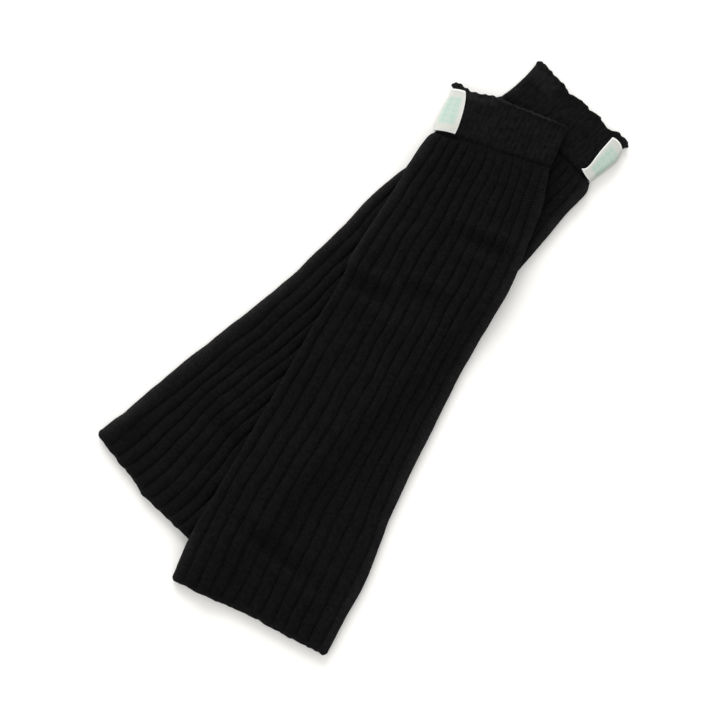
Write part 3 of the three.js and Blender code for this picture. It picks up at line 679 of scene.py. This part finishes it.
def tube_object(name, leg, wall, places, heights, knit, origin, material, values):
    """The wall's points, set on what the leg rests on, as an object. Its courses count from the origin."""
    x, y = wall["x"], wall["y"]
    pair_x, pair_y = to_pair(leg, x, y)
    z = np.maximum(heights, 0) + lift(leg, x, y)
    points = np.stack([pair_x, pair_y, z], axis=-1).reshape(-1, 3)
    rows, stations = x.shape
    across = (np.append(places, 2 * knit["ribs"] + 4) + RIB_SHIFT) * knit["wales"]
    along = (wall["along"] - origin) / knit["course"]
    i = np.arange(rows)[:, None]
    j = np.arange(stations)[None, :]
    i_next = (i + 1) % rows
    corners = [(j, i), (j + 1, i), (j + 1, i_next), (j, i_next)]
    u = np.stack([across[a] + 0 * b for a, b in corners], axis=-1)
    v = np.stack([along[b, a % stations] for a, b in corners], axis=-1)
    uv = np.stack([u, v], axis=-1).reshape(-1, 4, 2)
    flat = {label: data.reshape(-1) for label, data in values.items()}
    return cloth_object(name, points, closed_grid(rows, stations), uv, material, flat)


# The pieces

FACE_FROM, FACE_FULL = 1 / 6, 1 / 2  # the shares of give between which the face begins


def on_face(wall):
    """1 on the face, going softly to 0 round the side folds."""
    return smooth((wall["give"] - FACE_FROM) / (FACE_FULL - FACE_FROM))


def painted_fold_light_and_shade(wall, seed, scale, table_rows):
    """Painted light on a side fold, or painted shade below 0: how much lighter or darker it is, as a share
    that comes and goes.
    """
    along, left, right = (np.array(column) for column in zip(*table_rows))
    to_side = np.minimum(wall["x"] - wall["left"], wall["right"] - wall["x"])
    on_left = wall["x"] < (wall["left"] + wall["right"]) / 2
    share = np.where(on_left, np.interp(wall["along"], along, left), np.interp(wall["along"], along, right))
    uneven = 1 + wavers(seed + KINDS["fold"], wall["x"], wall["y"], FOLD_WAVES)
    light, wide, dark = (near(to_side, scale * FOLD_REACH[name]) for name in ("light", "wide", "dark"))
    light = light + (wide - light) * FOLD_REACH["wide_share"]
    return share * np.where(share > 0, light, dark) * uneven * on_face(wall)


def leg_piece(leg, material):
    rows, knit, seed = LEG_ROWS[leg], WIDE_RIB, SEEDS[leg]
    hem, top = rows["along"][0], rows["along"][-1]

    def relief(row, s, places):
        along = row["along"]
        tuck = near(top - along, SEAM_TUCK["reach"]) * s["give"]
        pits = 0.5 + 0.5 * np.cos(2 * math.pi * s["x"] / SEAM_PIT["pitch"])
        pit = SEAM_PIT["down"] * near(top - along, SEAM_PIT["reach"]) * pits * s["give"]
        swell = wavers(seed + KINDS["swell"], s["x"], along, LEG_SWELLS)
        place = LEG_FADE["apart"] * np.round(places)
        fade = LEG_FADE["middle"] + wavers(seed + KINDS["fade"], place, along, LEG_FADE["waves"])
        depth = np.clip(fade, LEG_FADE["least"], LEG_FADE["most"]) * (1 - SEAM_TUCK["fill"] * tuck)
        depth = depth * (1 - (1 - HEM_FLAT["least"]) * near(along - hem, HEM_FLAT["reach"]))
        return {"depth": depth, "rise": swell - pit - SEAM_TUCK["down"] * tuck ** 2}

    def y_at(row, s, x):
        from_hem = row["along"] - hem
        scallop = HEM_SCALLOP["out"] * (1 - s["groove"]) * s["give"] * near(from_hem, HEM_SCALLOP["reach"])
        waves = wavers(seed + KINDS["hem"], x, 0 * x, HEM_WAVES) * near(from_hem, EDGE_REACH)
        return along_at(row, x) - edge_move(row, x, from_hem, HEM_EDGES[leg], HEM_CORNER) - scallop - waves

    spec = {**LEG_LIPS, **LEG_STEPS, "seed": seed, "relief": relief, "y_at": y_at}
    wall, places = tube_points(rows, knit, spec)
    sink = wall["give"] * wall["full"] * sink_at(leg, wall["x"], wall["y"])
    # Painted highlights on the side folds and the hem go into the edge value; painted shade on folds in shade
    # goes into the groove value
    fold_light_and_shade = painted_fold_light_and_shade(wall, seed, 1, LEG_FOLD_LIGHT_AND_SHADE[leg])
    edge = np.maximum(fold_light_and_shade, HEM_LIGHT["share"] * near(wall["along"] - hem, HEM_LIGHT["reach"]))
    # Painted shade along the seam and in the creases' troughs, added to the grooves' painted shade in the
    # groove value
    uneven = waver(seed + KINDS["seam"], wall["x"], 0 * wall["x"], LEG_SEAM_PAINTED_SHADE["length"])
    reach = LEG_SEAM_PAINTED_SHADE["reach"] * (1 + LEG_SEAM_PAINTED_SHADE["uneven"] * uneven)
    seam_shade = LEG_SEAM_PAINTED_SHADE["share"] * near(top - wall["along"], reach) * wall["give"]
    painted_shade = np.maximum(np.maximum(seam_shade, -fold_light_and_shade), CREASE_PAINTED_SHADE * sink)
    dark = wall["groove"] + (1 - wall["groove"]) * painted_shade
    values = {"groove": dark, "edge": edge}
    return tube_object(f"{leg}_leg_cloth", leg, wall, places, wall["h"] - sink, knit, 0, material, values)


def cuff_light(leg, wall, from_top, seed, fold_light_and_shade):
    """Painted highlights: how much lighter a cuff is on its rolled rim, its patch, its folds and the curled
    end at its label.
    """
    x, y = wall["x"], wall["y"]
    start, stop = RIM_LIGHT[leg]["across"]
    uneven = waver(seed + KINDS["rim"], x, 0 * x, RIM_UNEVEN["length"])
    uneven = RIM_UNEVEN["middle"] + RIM_UNEVEN["size"] * uneven
    uneven = np.clip(uneven, RIM_UNEVEN["least"], RIM_UNEVEN["most"])
    rim = RIM_LIGHT[leg]["share"] * near(from_top, RIM["light_reach"]) * on_face(wall) * uneven
    rim = rim * smooth((x - start) / RIM_FADE["left"]) * smooth((stop - x) / RIM_FADE["right"])
    left, right, reach, share = CUFF_HIGHLIGHT_PATCH[leg]
    patch = share * smooth((x - left) / HIGHLIGHT_PATCH_FADE["left"]) * smooth((right - x) / HIGHLIGHT_PATCH_FADE["right"])
    patch = patch * smooth((reach - from_top) / HIGHLIGHT_PATCH_FADE["down"]) * wall["give"]
    patch = patch * (1 + HIGHLIGHT_PATCH_UNEVEN["size"] * waver(seed + KINDS["patch"], x, y, HIGHLIGHT_PATCH_UNEVEN["length"]))
    from_end = x - wall["left"] if LABELS[leg]["side"] < 0 else wall["right"] - x
    knob_highlight = near(from_end, CUFF_KNOB_HIGHLIGHT["from_side"]) * near(from_top, CUFF_KNOB_HIGHLIGHT["from_top"])
    return np.maximum(np.maximum(rim, patch), np.maximum(fold_light_and_shade, CUFF_KNOB_HIGHLIGHT["share"] * knob_highlight))


def cuff_piece(leg, material):
    rows, knit, seed = CUFF_ROWS[leg], FINE_RIB, SEEDS[leg]
    start, top = rows["along"][0], rows["along"][-1]

    def relief(row, s, places):
        along = row["along"]
        across = smooth((s["x"] - row["left"]) / CALM[leg]["reach"])
        calm = CALM[leg]["left"] + (CALM[leg]["right"] - CALM[leg]["left"]) * across
        place = CUFF_TICKS["apart"] * np.round(places)
        ticks = wavers(seed + KINDS["fade"], place, along, CUFF_TICKS["waves"])
        shown = smooth(CUFF_TICKS["shown"] + ticks)
        crinkle = wavers(seed + KINDS["swell"], s["x"], along, CUFF_SWELLS)
        rim = RIM["height"] * np.exp(-(((top - along - RIM["from_edge"]) / RIM["width"]) ** 2))
        sunk = CUFF_SINK["down"] * near(along - start, CUFF_SINK["reach"]) * s["give"]
        return {"depth": calm * (CUFF_TICKS["least"] + (1 - CUFF_TICKS["least"]) * shown),
                "rise": crinkle * calm + rim * (s["give"] > RIM_GIVE) - sunk}

    def frill_wave(row, x):
        phase = math.pi * FRILL["waves"] * (share_across(row, x) + 1) + FRILL["start"]
        uneven = FRILL["uneven"] * waver(seed + KINDS["frill"], x, 0 * x, FRILL["length"])
        wave = np.sin(phase + FRILL["shift"] * uneven) * (1 + uneven)
        return wave * near(top - row["along"], FRILL["reach"])

    def y_at(row, s, x):
        out = edge_move(row, x, top - row["along"], CUFF_EDGES[leg], CUFF_CORNER)
        return along_at(row, x) + FRILL["along"] * frill_wave(row, x) + out

    spec = {**CUFF_LIPS, **CUFF_STEPS, "seed": seed + KINDS["cuff"], "relief": relief, "y_at": y_at}
    wall, places = tube_points(rows, knit, spec)
    frilled = FRILL["up"] * frill_wave(wall, wall["x"]) * wall["give"]
    heights = wall["h"] + label_lift(leg, wall["x"], wall["y"]) + frilled
    # Painted highlights on the cuff's rim, patch, folds and curled end go into the edge value
    fold_light_and_shade = painted_fold_light_and_shade(wall, seed + KINDS["cuff_fold"], CUFF_FOLD_SCALE, CUFF_FOLD_LIGHT_AND_SHADE[leg])
    edge = cuff_light(leg, wall, top - wall["along"], seed, fold_light_and_shade)
    # Painted shade along the seam and on folds in shade, added to the grooves' painted shade in the groove
    # value
    seam_shade = CUFF_SEAM_PAINTED_SHADE["share"] * near(wall["along"] - start, CUFF_SEAM_PAINTED_SHADE["reach"]) * wall["give"]
    dark = wall["groove"] + (1 - wall["groove"]) * np.maximum(seam_shade, -fold_light_and_shade)
    values = {"groove": dark, "edge": edge}
    return tube_object(f"{leg}_cuff_cloth", leg, wall, places, heights, knit, top, material, values)


def label_piece(leg, material):
    """The woven tab: a strip from the cuff's face round its side fold to the underside."""
    side, skew, rows = (LABELS[leg][name] for name in ("side", "skew", "rows"))
    y = np.linspace(rows["along"][0], rows["along"][-1], LABEL_GRID[1])
    along = y
    for _ in range(TILT_STEPS):
        along = y - side * row_at(CUFF_ROWS[leg], along)["tilt"]
    row, tape = upright(row_at(CUFF_ROWS[leg], along)), upright(row_at(rows, y))
    share_up = ((y - y[0]) / (y[-1] - y[0]))[:, None]
    run = np.linspace(-1, 1, LABEL_GRID[0])[None, :]
    skins = []
    for outward in (LABEL_GAP + LABEL_THICK, LABEL_GAP + LABEL_INNER):
        low, high = -outward, face_height(FINE_RIB, 1) + outward
        radius = (high - low) / 2
        edge = tape["outer"] + side * (outward - LABEL_GAP - LABEL_THICK)
        flat = np.maximum(np.abs(edge - tape["inner"]) - radius, 0)
        place = np.abs(run) * (flat + math.pi * radius / 2)
        angle = np.minimum(place / radius, math.pi / 2)
        back = np.maximum(place - radius * math.pi / 2, 0)
        x = edge - side * (radius * (1 - np.cos(angle)) + back)
        rise = np.sin(math.pi * share_up) * np.sin(math.pi * np.clip(-run, 0, 1)) * smooth(-3 * run)
        h = (low + high) / 2 - np.sign(run) * radius * np.sin(angle) + LABEL_PUFF * rise
        across = np.maximum(side * (tape["outer"] - x), 0)
        share = across / np.abs(tape["outer"] - tape["inner"])
        y_here = along_at(row, x) + skew * across + tape["bow"] * 4 * share * (1 - share)
        z = h + LABEL_GAP + LABEL_THICK + lift(leg, x, y_here)
        skins.append(np.stack([x + 0 * z, y_here, z], axis=-1))
    return label_shell(f"{leg}_label_tape", leg, *skins, material)


def label_shell(name, leg, outer, inner, material):
    """A thin closed strip between two grids of points, with rounded edges."""
    rows, columns = outer.shape[:2]
    count = rows * columns
    border = [(0, j) for j in range(columns)]
    border += [(i, columns - 1) for i in range(1, rows)]
    border += [(rows - 1, j) for j in range(columns - 2, -1, -1)]
    border += [(i, 0) for i in range(rows - 2, 0, -1)]
    index = np.arange(count).reshape(rows, columns)
    quads = [(index[i, j], index[i, j + 1], index[i + 1, j + 1], index[i + 1, j])
             for i in range(rows - 1) for j in range(columns - 1)]
    faces = quads + [tuple(count + k for k in reversed(quad)) for quad in quads]
    edge_points = []
    for k, (i, j) in enumerate(border):
        i_in, j_in = min(max(i, 1), rows - 2), min(max(j, 1), columns - 2)
        away = (outer[i, j] - outer[i_in, j_in]) + (inner[i, j] - inner[i_in, j_in])
        edge_points.append((outer[i, j] + inner[i, j]) / 2 + away / np.linalg.norm(away) * LABEL_ROUND)
        a, b = index[i, j], index[border[(k + 1) % len(border)]]
        edge_a, edge_b = 2 * count + k, 2 * count + (k + 1) % len(border)
        faces.append((b, a, edge_a, edge_b))
        faces.append((edge_b, edge_a, count + a, count + b))
    points = np.concatenate([outer.reshape(-1, 3), inner.reshape(-1, 3), np.array(edge_points)])
    pair_x, pair_y = to_pair(leg, points[:, 0], points[:, 1])
    points = np.stack([pair_x, pair_y, np.maximum(points[:, 2], 0)], axis=-1)
    places = [(j / (columns - 1), i / (rows - 1)) for i in range(rows) for j in range(columns)]
    places = np.array(2 * places + [(j / (columns - 1), i / (rows - 1)) for i, j in border])
    faces = np.array(faces)
    return cloth_object(name, points, faces, places[faces], material, {})


# Materials

# Noises: scale, detail, roughness. What they give lies in NOISE_RANGE.
NOISE_RANGE = (0.3, 0.7)
STITCH = {"slant": 0.55, "round": 0.6, "between": 0.35, "stray": 0.5, "stray_noise": (260, 2, 0.5)}
FUZZ = {"noise": (2300, 4, 0.65), "height": 0.45}
MOTTLE = {"noise": (330, 2, 0.6), "height": 0.42, "tones": (0.77, 1.25)}
PATCHES = {"noise": (38, 3, 0.5), "tones": (0.94, 1.07)}
TONE = {"least": 0.2, "stitch": 0.4, "fuzz": 0.5}  # what a tone is made of; its stitch part is painted shade, darker between the stitches' loops
TONE_ROUGHNESS = (0, 1.2, 0.97, 0.86)  # tones from and to, and their roughness
GROOVE_SHADE_RANGE = (0.03, 0.5)  # the shares of a groove between which its painted shade darkens it
# The painted shade's colour: in grooves, at the seams, in creases and on folds in shade
GROOVE_SHADE_COLOUR = (0.0016, 0.0016, 0.0016)
# The painted highlights' colour: on side folds, hems, cuff rims, patches and curled ends
PAINTED_HIGHLIGHT_COLOUR = (0.020, 0.020, 0.0205)
PAINTED_HIGHLIGHT_TONE = 0.35  # how much of an edge's painted highlight doesn't follow the tone
KNIT_SHADER = {
    "Specular IOR Level": 0.0, "Sheen Weight": 0.02, "Sheen Roughness": 0.45,
    "Sheen Tint": (0.8, 0.8, 0.82, 1),
}
# purl: every how many wales one is purl. colours: darkest and lightest. dark: how dark the painted shade
# makes its grooves.
# relief: how high the stitches are, in metres.
LEG_KNIT = {
    "purl": WIDE_RIB["wales"], "colours": ((0.0006, 0.0006, 0.0006), (0.0087, 0.0087, 0.0087)),
    "dark": 0.44, "relief": 0.0008,
}
CUFF_KNIT = {
    "purl": FINE_RIB["wales"], "colours": ((0.0006, 0.0006, 0.0006), (0.0100, 0.0100, 0.0100)),
    "dark": 0.36, "relief": 0.0006,
}

# The label's tape, with places as shares across it and up it
CREAM = (0.585, 0.59, 0.54)
MINT = (0.36, 0.545, 0.46)
WHITE_THREAD = (0.74, 0.75, 0.72)
DIM_THREAD = (0.30, 0.31, 0.29)
DIM = {"weave": 0.06, "grain": 0.10}
PICKS = (60, 62)
GRAIN = {"noise": (900, 3, 0.5), "mint": (0.35, 0.65, 0.7, 1.1), "roughness": (0.62, 0.75)}
# Its lozenges. across, up: from, to, how many. ring, reach: how far from its middle each has its ring, and
# how wide that is. edge: where the pattern ends. share, ground: how much mint is on the ring, and between.
MOTIF = {
    "across": (0.07, 0.42, 2), "up": (0.15, 0.85, 5), "ring": 0.27, "reach": (0.04, 0.24),
    "edge": (0.36, 0.56), "share": 0.92, "ground": 0.55,
}
WHITE_ENDS = {"up": (0.94, 0.965), "across": (0.012, 0.024)}
TAPE_STITCH = {"count": 19, "dash": 0.6, "at": 0.045, "reach": (0.004, 0.010), "share": 0.35}
TAPE_RELIEF = 0.00012
TAPE_SHADER = {"Specular IOR Level": 0.3, "Sheen Weight": 0.1}

FLOOR_SHADER = {"Base Color": (0.908, 0.896, 0.872, 1), "Roughness": 0.9, "Specular IOR Level": 0.1}


class Nodes:
    """A material's node tree, with short calls for the nodes that repeat."""

    def __init__(self, name, constants):
        self.material = bpy.data.materials.new(name)
        self.material.use_nodes = True
        self.tree = self.material.node_tree
        self.shader = self.tree.nodes["Principled BSDF"]
        for socket, value in constants.items():
            self.shader.inputs[socket].default_value = value

    def add(self, kind, **settings):
        node = self.tree.nodes.new(kind)
        for name, value in settings.items():
            setattr(node, name, value)
        return node

    def join(self, source, socket):
        if isinstance(source, (int, float)):
            socket.default_value = source
        elif isinstance(source, tuple):
            socket.default_value = (*source, 1)
        else:
            self.tree.links.new(source, socket)

    def math(self, operation, *values):
        node = self.add("ShaderNodeMath", operation=operation)
        for value, socket in zip(values, node.inputs):
            self.join(value, socket)
        return node.outputs[0]

    def plus(self, a, b):
        return self.math("ADD", a, b)

    def minus(self, a, b):
        return self.math("SUBTRACT", a, b)

    def times(self, a, b):
        return self.math("MULTIPLY", a, b)

    def off(self, value, middle):
        """How far a value is from the middle, to either side."""
        return self.math("ABSOLUTE", self.minus(value, middle))

    def spread(self, value, low, high, to_low, to_high):
        """value, from low to high, turned smoothly into to_low to to_high."""
        node = self.add("ShaderNodeMapRange", interpolation_type="SMOOTHSTEP")
        for number, socket in zip((value, low, high, to_low, to_high), node.inputs):
            self.join(number, socket)
        return node.outputs[0]

    def noise(self, scale, detail, roughness):
        node = self.add("ShaderNodeTexNoise")
        self.join(self.add("ShaderNodeTexCoord").outputs["Object"], node.inputs["Vector"])
        for name, value in (("Scale", scale), ("Detail", detail), ("Roughness", roughness)):
            self.join(value, node.inputs[name])
        return node.outputs[0]

    def mix(self, share, dark, light):
        node = self.add("ShaderNodeMix", data_type="RGBA")
        for name, value in (("Factor", share), ("A", dark), ("B", light)):
            self.join(value, node.inputs[name])
        return node.outputs["Result"]

    def place(self):
        node = self.add("ShaderNodeSeparateXYZ")
        self.join(self.add("ShaderNodeUVMap", uv_map="Knit").outputs[0], node.inputs[0])
        return node.outputs[0], node.outputs[1]

    def value(self, name):
        """One of the values that the cloth's points hold."""
        return self.add("ShaderNodeAttribute", attribute_name=name).outputs["Fac"]

    def surface(self, colour, roughness, height, distance):
        node = self.add("ShaderNodeBump")
        node.inputs["Strength"].default_value = 1.0
        self.join(distance, node.inputs["Distance"])
        self.join(height, node.inputs["Height"])
        self.join(node.outputs[0], self.shader.inputs["Normal"])
        self.join(colour, self.shader.inputs["Base Color"])
        self.join(roughness, self.shader.inputs["Roughness"])


def stitches(nodes, purl_every):
    """The knit's relief: rows of V stitches up each wale, and plain bumps up the purl wales."""
    u, v = nodes.place()
    stray = nodes.times(nodes.minus(nodes.noise(*STITCH["stray_noise"]), 0.5), STITCH["stray"])
    u, v = nodes.plus(u, stray), nodes.plus(v, stray)
    off_middle = nodes.times(nodes.off(nodes.math("FRACT", u), 0.5), 2.0)
    purl = nodes.math("LESS_THAN", nodes.math("FLOORED_MODULO", nodes.math("FLOOR", u), purl_every), 0.5)
    slant = nodes.times(nodes.times(off_middle, STITCH["slant"]), nodes.minus(1.0, purl))
    in_course = nodes.math("FRACT", nodes.minus(v, slant))
    strand = nodes.math("POWER", nodes.math("SINE", nodes.times(in_course, math.pi)), STITCH["round"])
    off_strand = nodes.minus(nodes.times(off_middle, 2.0), 1.0)
    bow = nodes.minus(1.0, nodes.times(off_strand, off_strand))
    across = nodes.times(nodes.math("MAXIMUM", bow, purl), 1 - STITCH["between"])
    return nodes.times(strand, nodes.plus(across, STITCH["between"]))


def knit_material(name, knit):
    """Black knit: stitches, yarn fuzz and a soft unevenness of colour, with a little sheen, painted shade in
    its grooves and between its stitches, and painted highlights on its edges.
    """
    nodes = Nodes(name, KNIT_SHADER)
    height = stitches(nodes, knit["purl"])
    fuzz, mottle, patches = (nodes.noise(*kind["noise"]) for kind in (FUZZ, MOTTLE, PATCHES))
    tone = nodes.plus(nodes.times(height, TONE["stitch"]), nodes.times(fuzz, TONE["fuzz"]))
    tone = nodes.plus(tone, TONE["least"])
    tone = nodes.times(tone, nodes.spread(patches, *NOISE_RANGE, *PATCHES["tones"]))
    tone = nodes.times(tone, nodes.spread(mottle, *NOISE_RANGE, *MOTTLE["tones"]))
    # Painted shade from the groove value and painted highlights from the edge value, mixed into the knit's
    # colour
    groove = nodes.spread(nodes.value("groove"), *GROOVE_SHADE_RANGE, 0.0, knit["dark"])
    colour = nodes.mix(groove, nodes.mix(tone, *knit["colours"]), GROOVE_SHADE_COLOUR)
    edge = nodes.times(nodes.value("edge"), nodes.plus(tone, PAINTED_HIGHLIGHT_TONE))
    colour = nodes.mix(edge, colour, PAINTED_HIGHLIGHT_COLOUR)
    rough = nodes.plus(nodes.times(fuzz, FUZZ["height"]), nodes.times(mottle, MOTTLE["height"]))
    nodes.surface(colour, nodes.spread(tone, *TONE_ROUGHNESS), nodes.plus(height, rough), knit["relief"])
    return nodes.material


def label_material():
    """Cream woven tape with lighter edges and a mint lozenge pattern along its middle."""
    nodes = Nodes("label tape", TAPE_SHADER)
    u, v = nodes.place()
    warp, weft = (nodes.math("SINE", nodes.times(value, 2 * math.pi * count))
                  for value, count in zip((u, v), PICKS))
    weave = nodes.times(weft, warp)
    grain = nodes.noise(*GRAIN["noise"])
    off_cell = []
    inside = 1.0
    for value, (low, high, cells) in ((u, MOTIF["across"]), (v, MOTIF["up"])):
        share = nodes.math("DIVIDE", nodes.minus(value, low), high - low)
        off_cell.append(nodes.off(nodes.math("FRACT", nodes.times(share, cells)), 0.5))
        inside = nodes.times(inside, nodes.spread(nodes.off(share, 0.5), *MOTIF["edge"], 1.0, 0.0))
    off_ring = nodes.off(nodes.plus(*off_cell), MOTIF["ring"])
    ring = nodes.spread(off_ring, *MOTIF["reach"], MOTIF["share"], MOTIF["ground"])
    mint = nodes.times(nodes.times(ring, inside), nodes.spread(grain, *GRAIN["mint"]))
    to_inner = nodes.math("MINIMUM", u, nodes.minus(1.0, u))
    at_end = nodes.spread(nodes.times(nodes.off(v, 0.5), 2.0), *WHITE_ENDS["up"], 0.0, 1.0)
    white = nodes.math("MAXIMUM", at_end, nodes.spread(to_inner, *WHITE_ENDS["across"], 1.0, 0.0))
    along_stitch = nodes.math("FRACT", nodes.times(v, TAPE_STITCH["count"]))
    dash = nodes.math("LESS_THAN", along_stitch, TAPE_STITCH["dash"])
    off_row = nodes.off(to_inner, TAPE_STITCH["at"])
    sewn = nodes.times(dash, nodes.spread(off_row, *TAPE_STITCH["reach"], TAPE_STITCH["share"], 0.0))
    colour = nodes.mix(nodes.math("MAXIMUM", white, sewn), nodes.mix(mint, CREAM, MINT), WHITE_THREAD)
    dim = nodes.plus(nodes.times(weave, DIM["weave"]), nodes.times(grain, DIM["grain"]))
    roughness = nodes.spread(grain, *NOISE_RANGE, *GRAIN["roughness"])
    nodes.surface(nodes.mix(dim, colour, DIM_THREAD), roughness, nodes.plus(weave, grain), TAPE_RELIEF)
    return nodes.material


# The stage

PHOTO_TURN = math.radians(37.256)  # the picture's upright, from +Y
PHOTO_CENTRE = (4.69, -21.61)
PHOTO_WIDTH = 518.4
CAMERA_HEIGHT = 1500
CLOTH_LEVEL = 7
FLOOR_SIZE = 12.0
SENSOR = 36
LIGHT_TURN = math.radians(5)  # of the key light, from the picture's upright towards its left
LIGHT_TILT = math.radians(76)  # from straight down
LIGHT_SIZE = math.radians(50)
LIGHT_STRENGTH = 4.8
AMBIENT = 0.97


def add_stage():
    half = FLOOR_SIZE / 2
    corners = [(-half, -half, 0), (half, -half, 0), (half, half, 0), (-half, half, 0)]
    mesh = bpy.data.meshes.new("floor")
    mesh.from_pydata(corners, [], [(0, 1, 2, 3)])
    mesh.materials.append(Nodes("white surface", FLOOR_SHADER).material)
    add_object("floor", mesh)

    world = bpy.data.worlds.new("studio")
    world.use_nodes = True
    background = world.node_tree.nodes["Background"].inputs
    background["Color"].default_value = (1, 1, 1, 1)
    background["Strength"].default_value = AMBIENT
    bpy.context.scene.world = world

    light = bpy.data.lights.new("key", "SUN")
    light.energy = LIGHT_STRENGTH
    light.angle = LIGHT_SIZE
    add_object("key", light).rotation_euler = (LIGHT_TILT, 0, PHOTO_TURN + math.pi + LIGHT_TURN)

    camera = add_object("camera", bpy.data.cameras.new("camera"))
    camera.data.sensor_width = SENSOR
    camera.data.lens = SENSOR * (CAMERA_HEIGHT - CLOTH_LEVEL) / PHOTO_WIDTH
    camera.location = (PHOTO_CENTRE[0] * MM, PHOTO_CENTRE[1] * MM, CAMERA_HEIGHT * MM)
    camera.rotation_euler = (0, 0, PHOTO_TURN)
    bpy.context.scene.camera = camera
    bpy.context.scene.view_settings.view_transform = "Standard"


add_stage()
leg_knit = knit_material("leg knit", LEG_KNIT)
cuff_knit = knit_material("cuff knit", CUFF_KNIT)
label_tape = label_material()

for leg in ("lower", "upper"):
    parts = (
        ("leg", leg_piece(leg, leg_knit), "rib_knit"),
        ("cuff", cuff_piece(leg, cuff_knit), "cuff_knit"),
        ("label", label_piece(leg, label_tape), "label_weave"),
    )
    for part, piece, slot in parts:
        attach(piece, "root")
        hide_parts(f"{leg}_{part}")
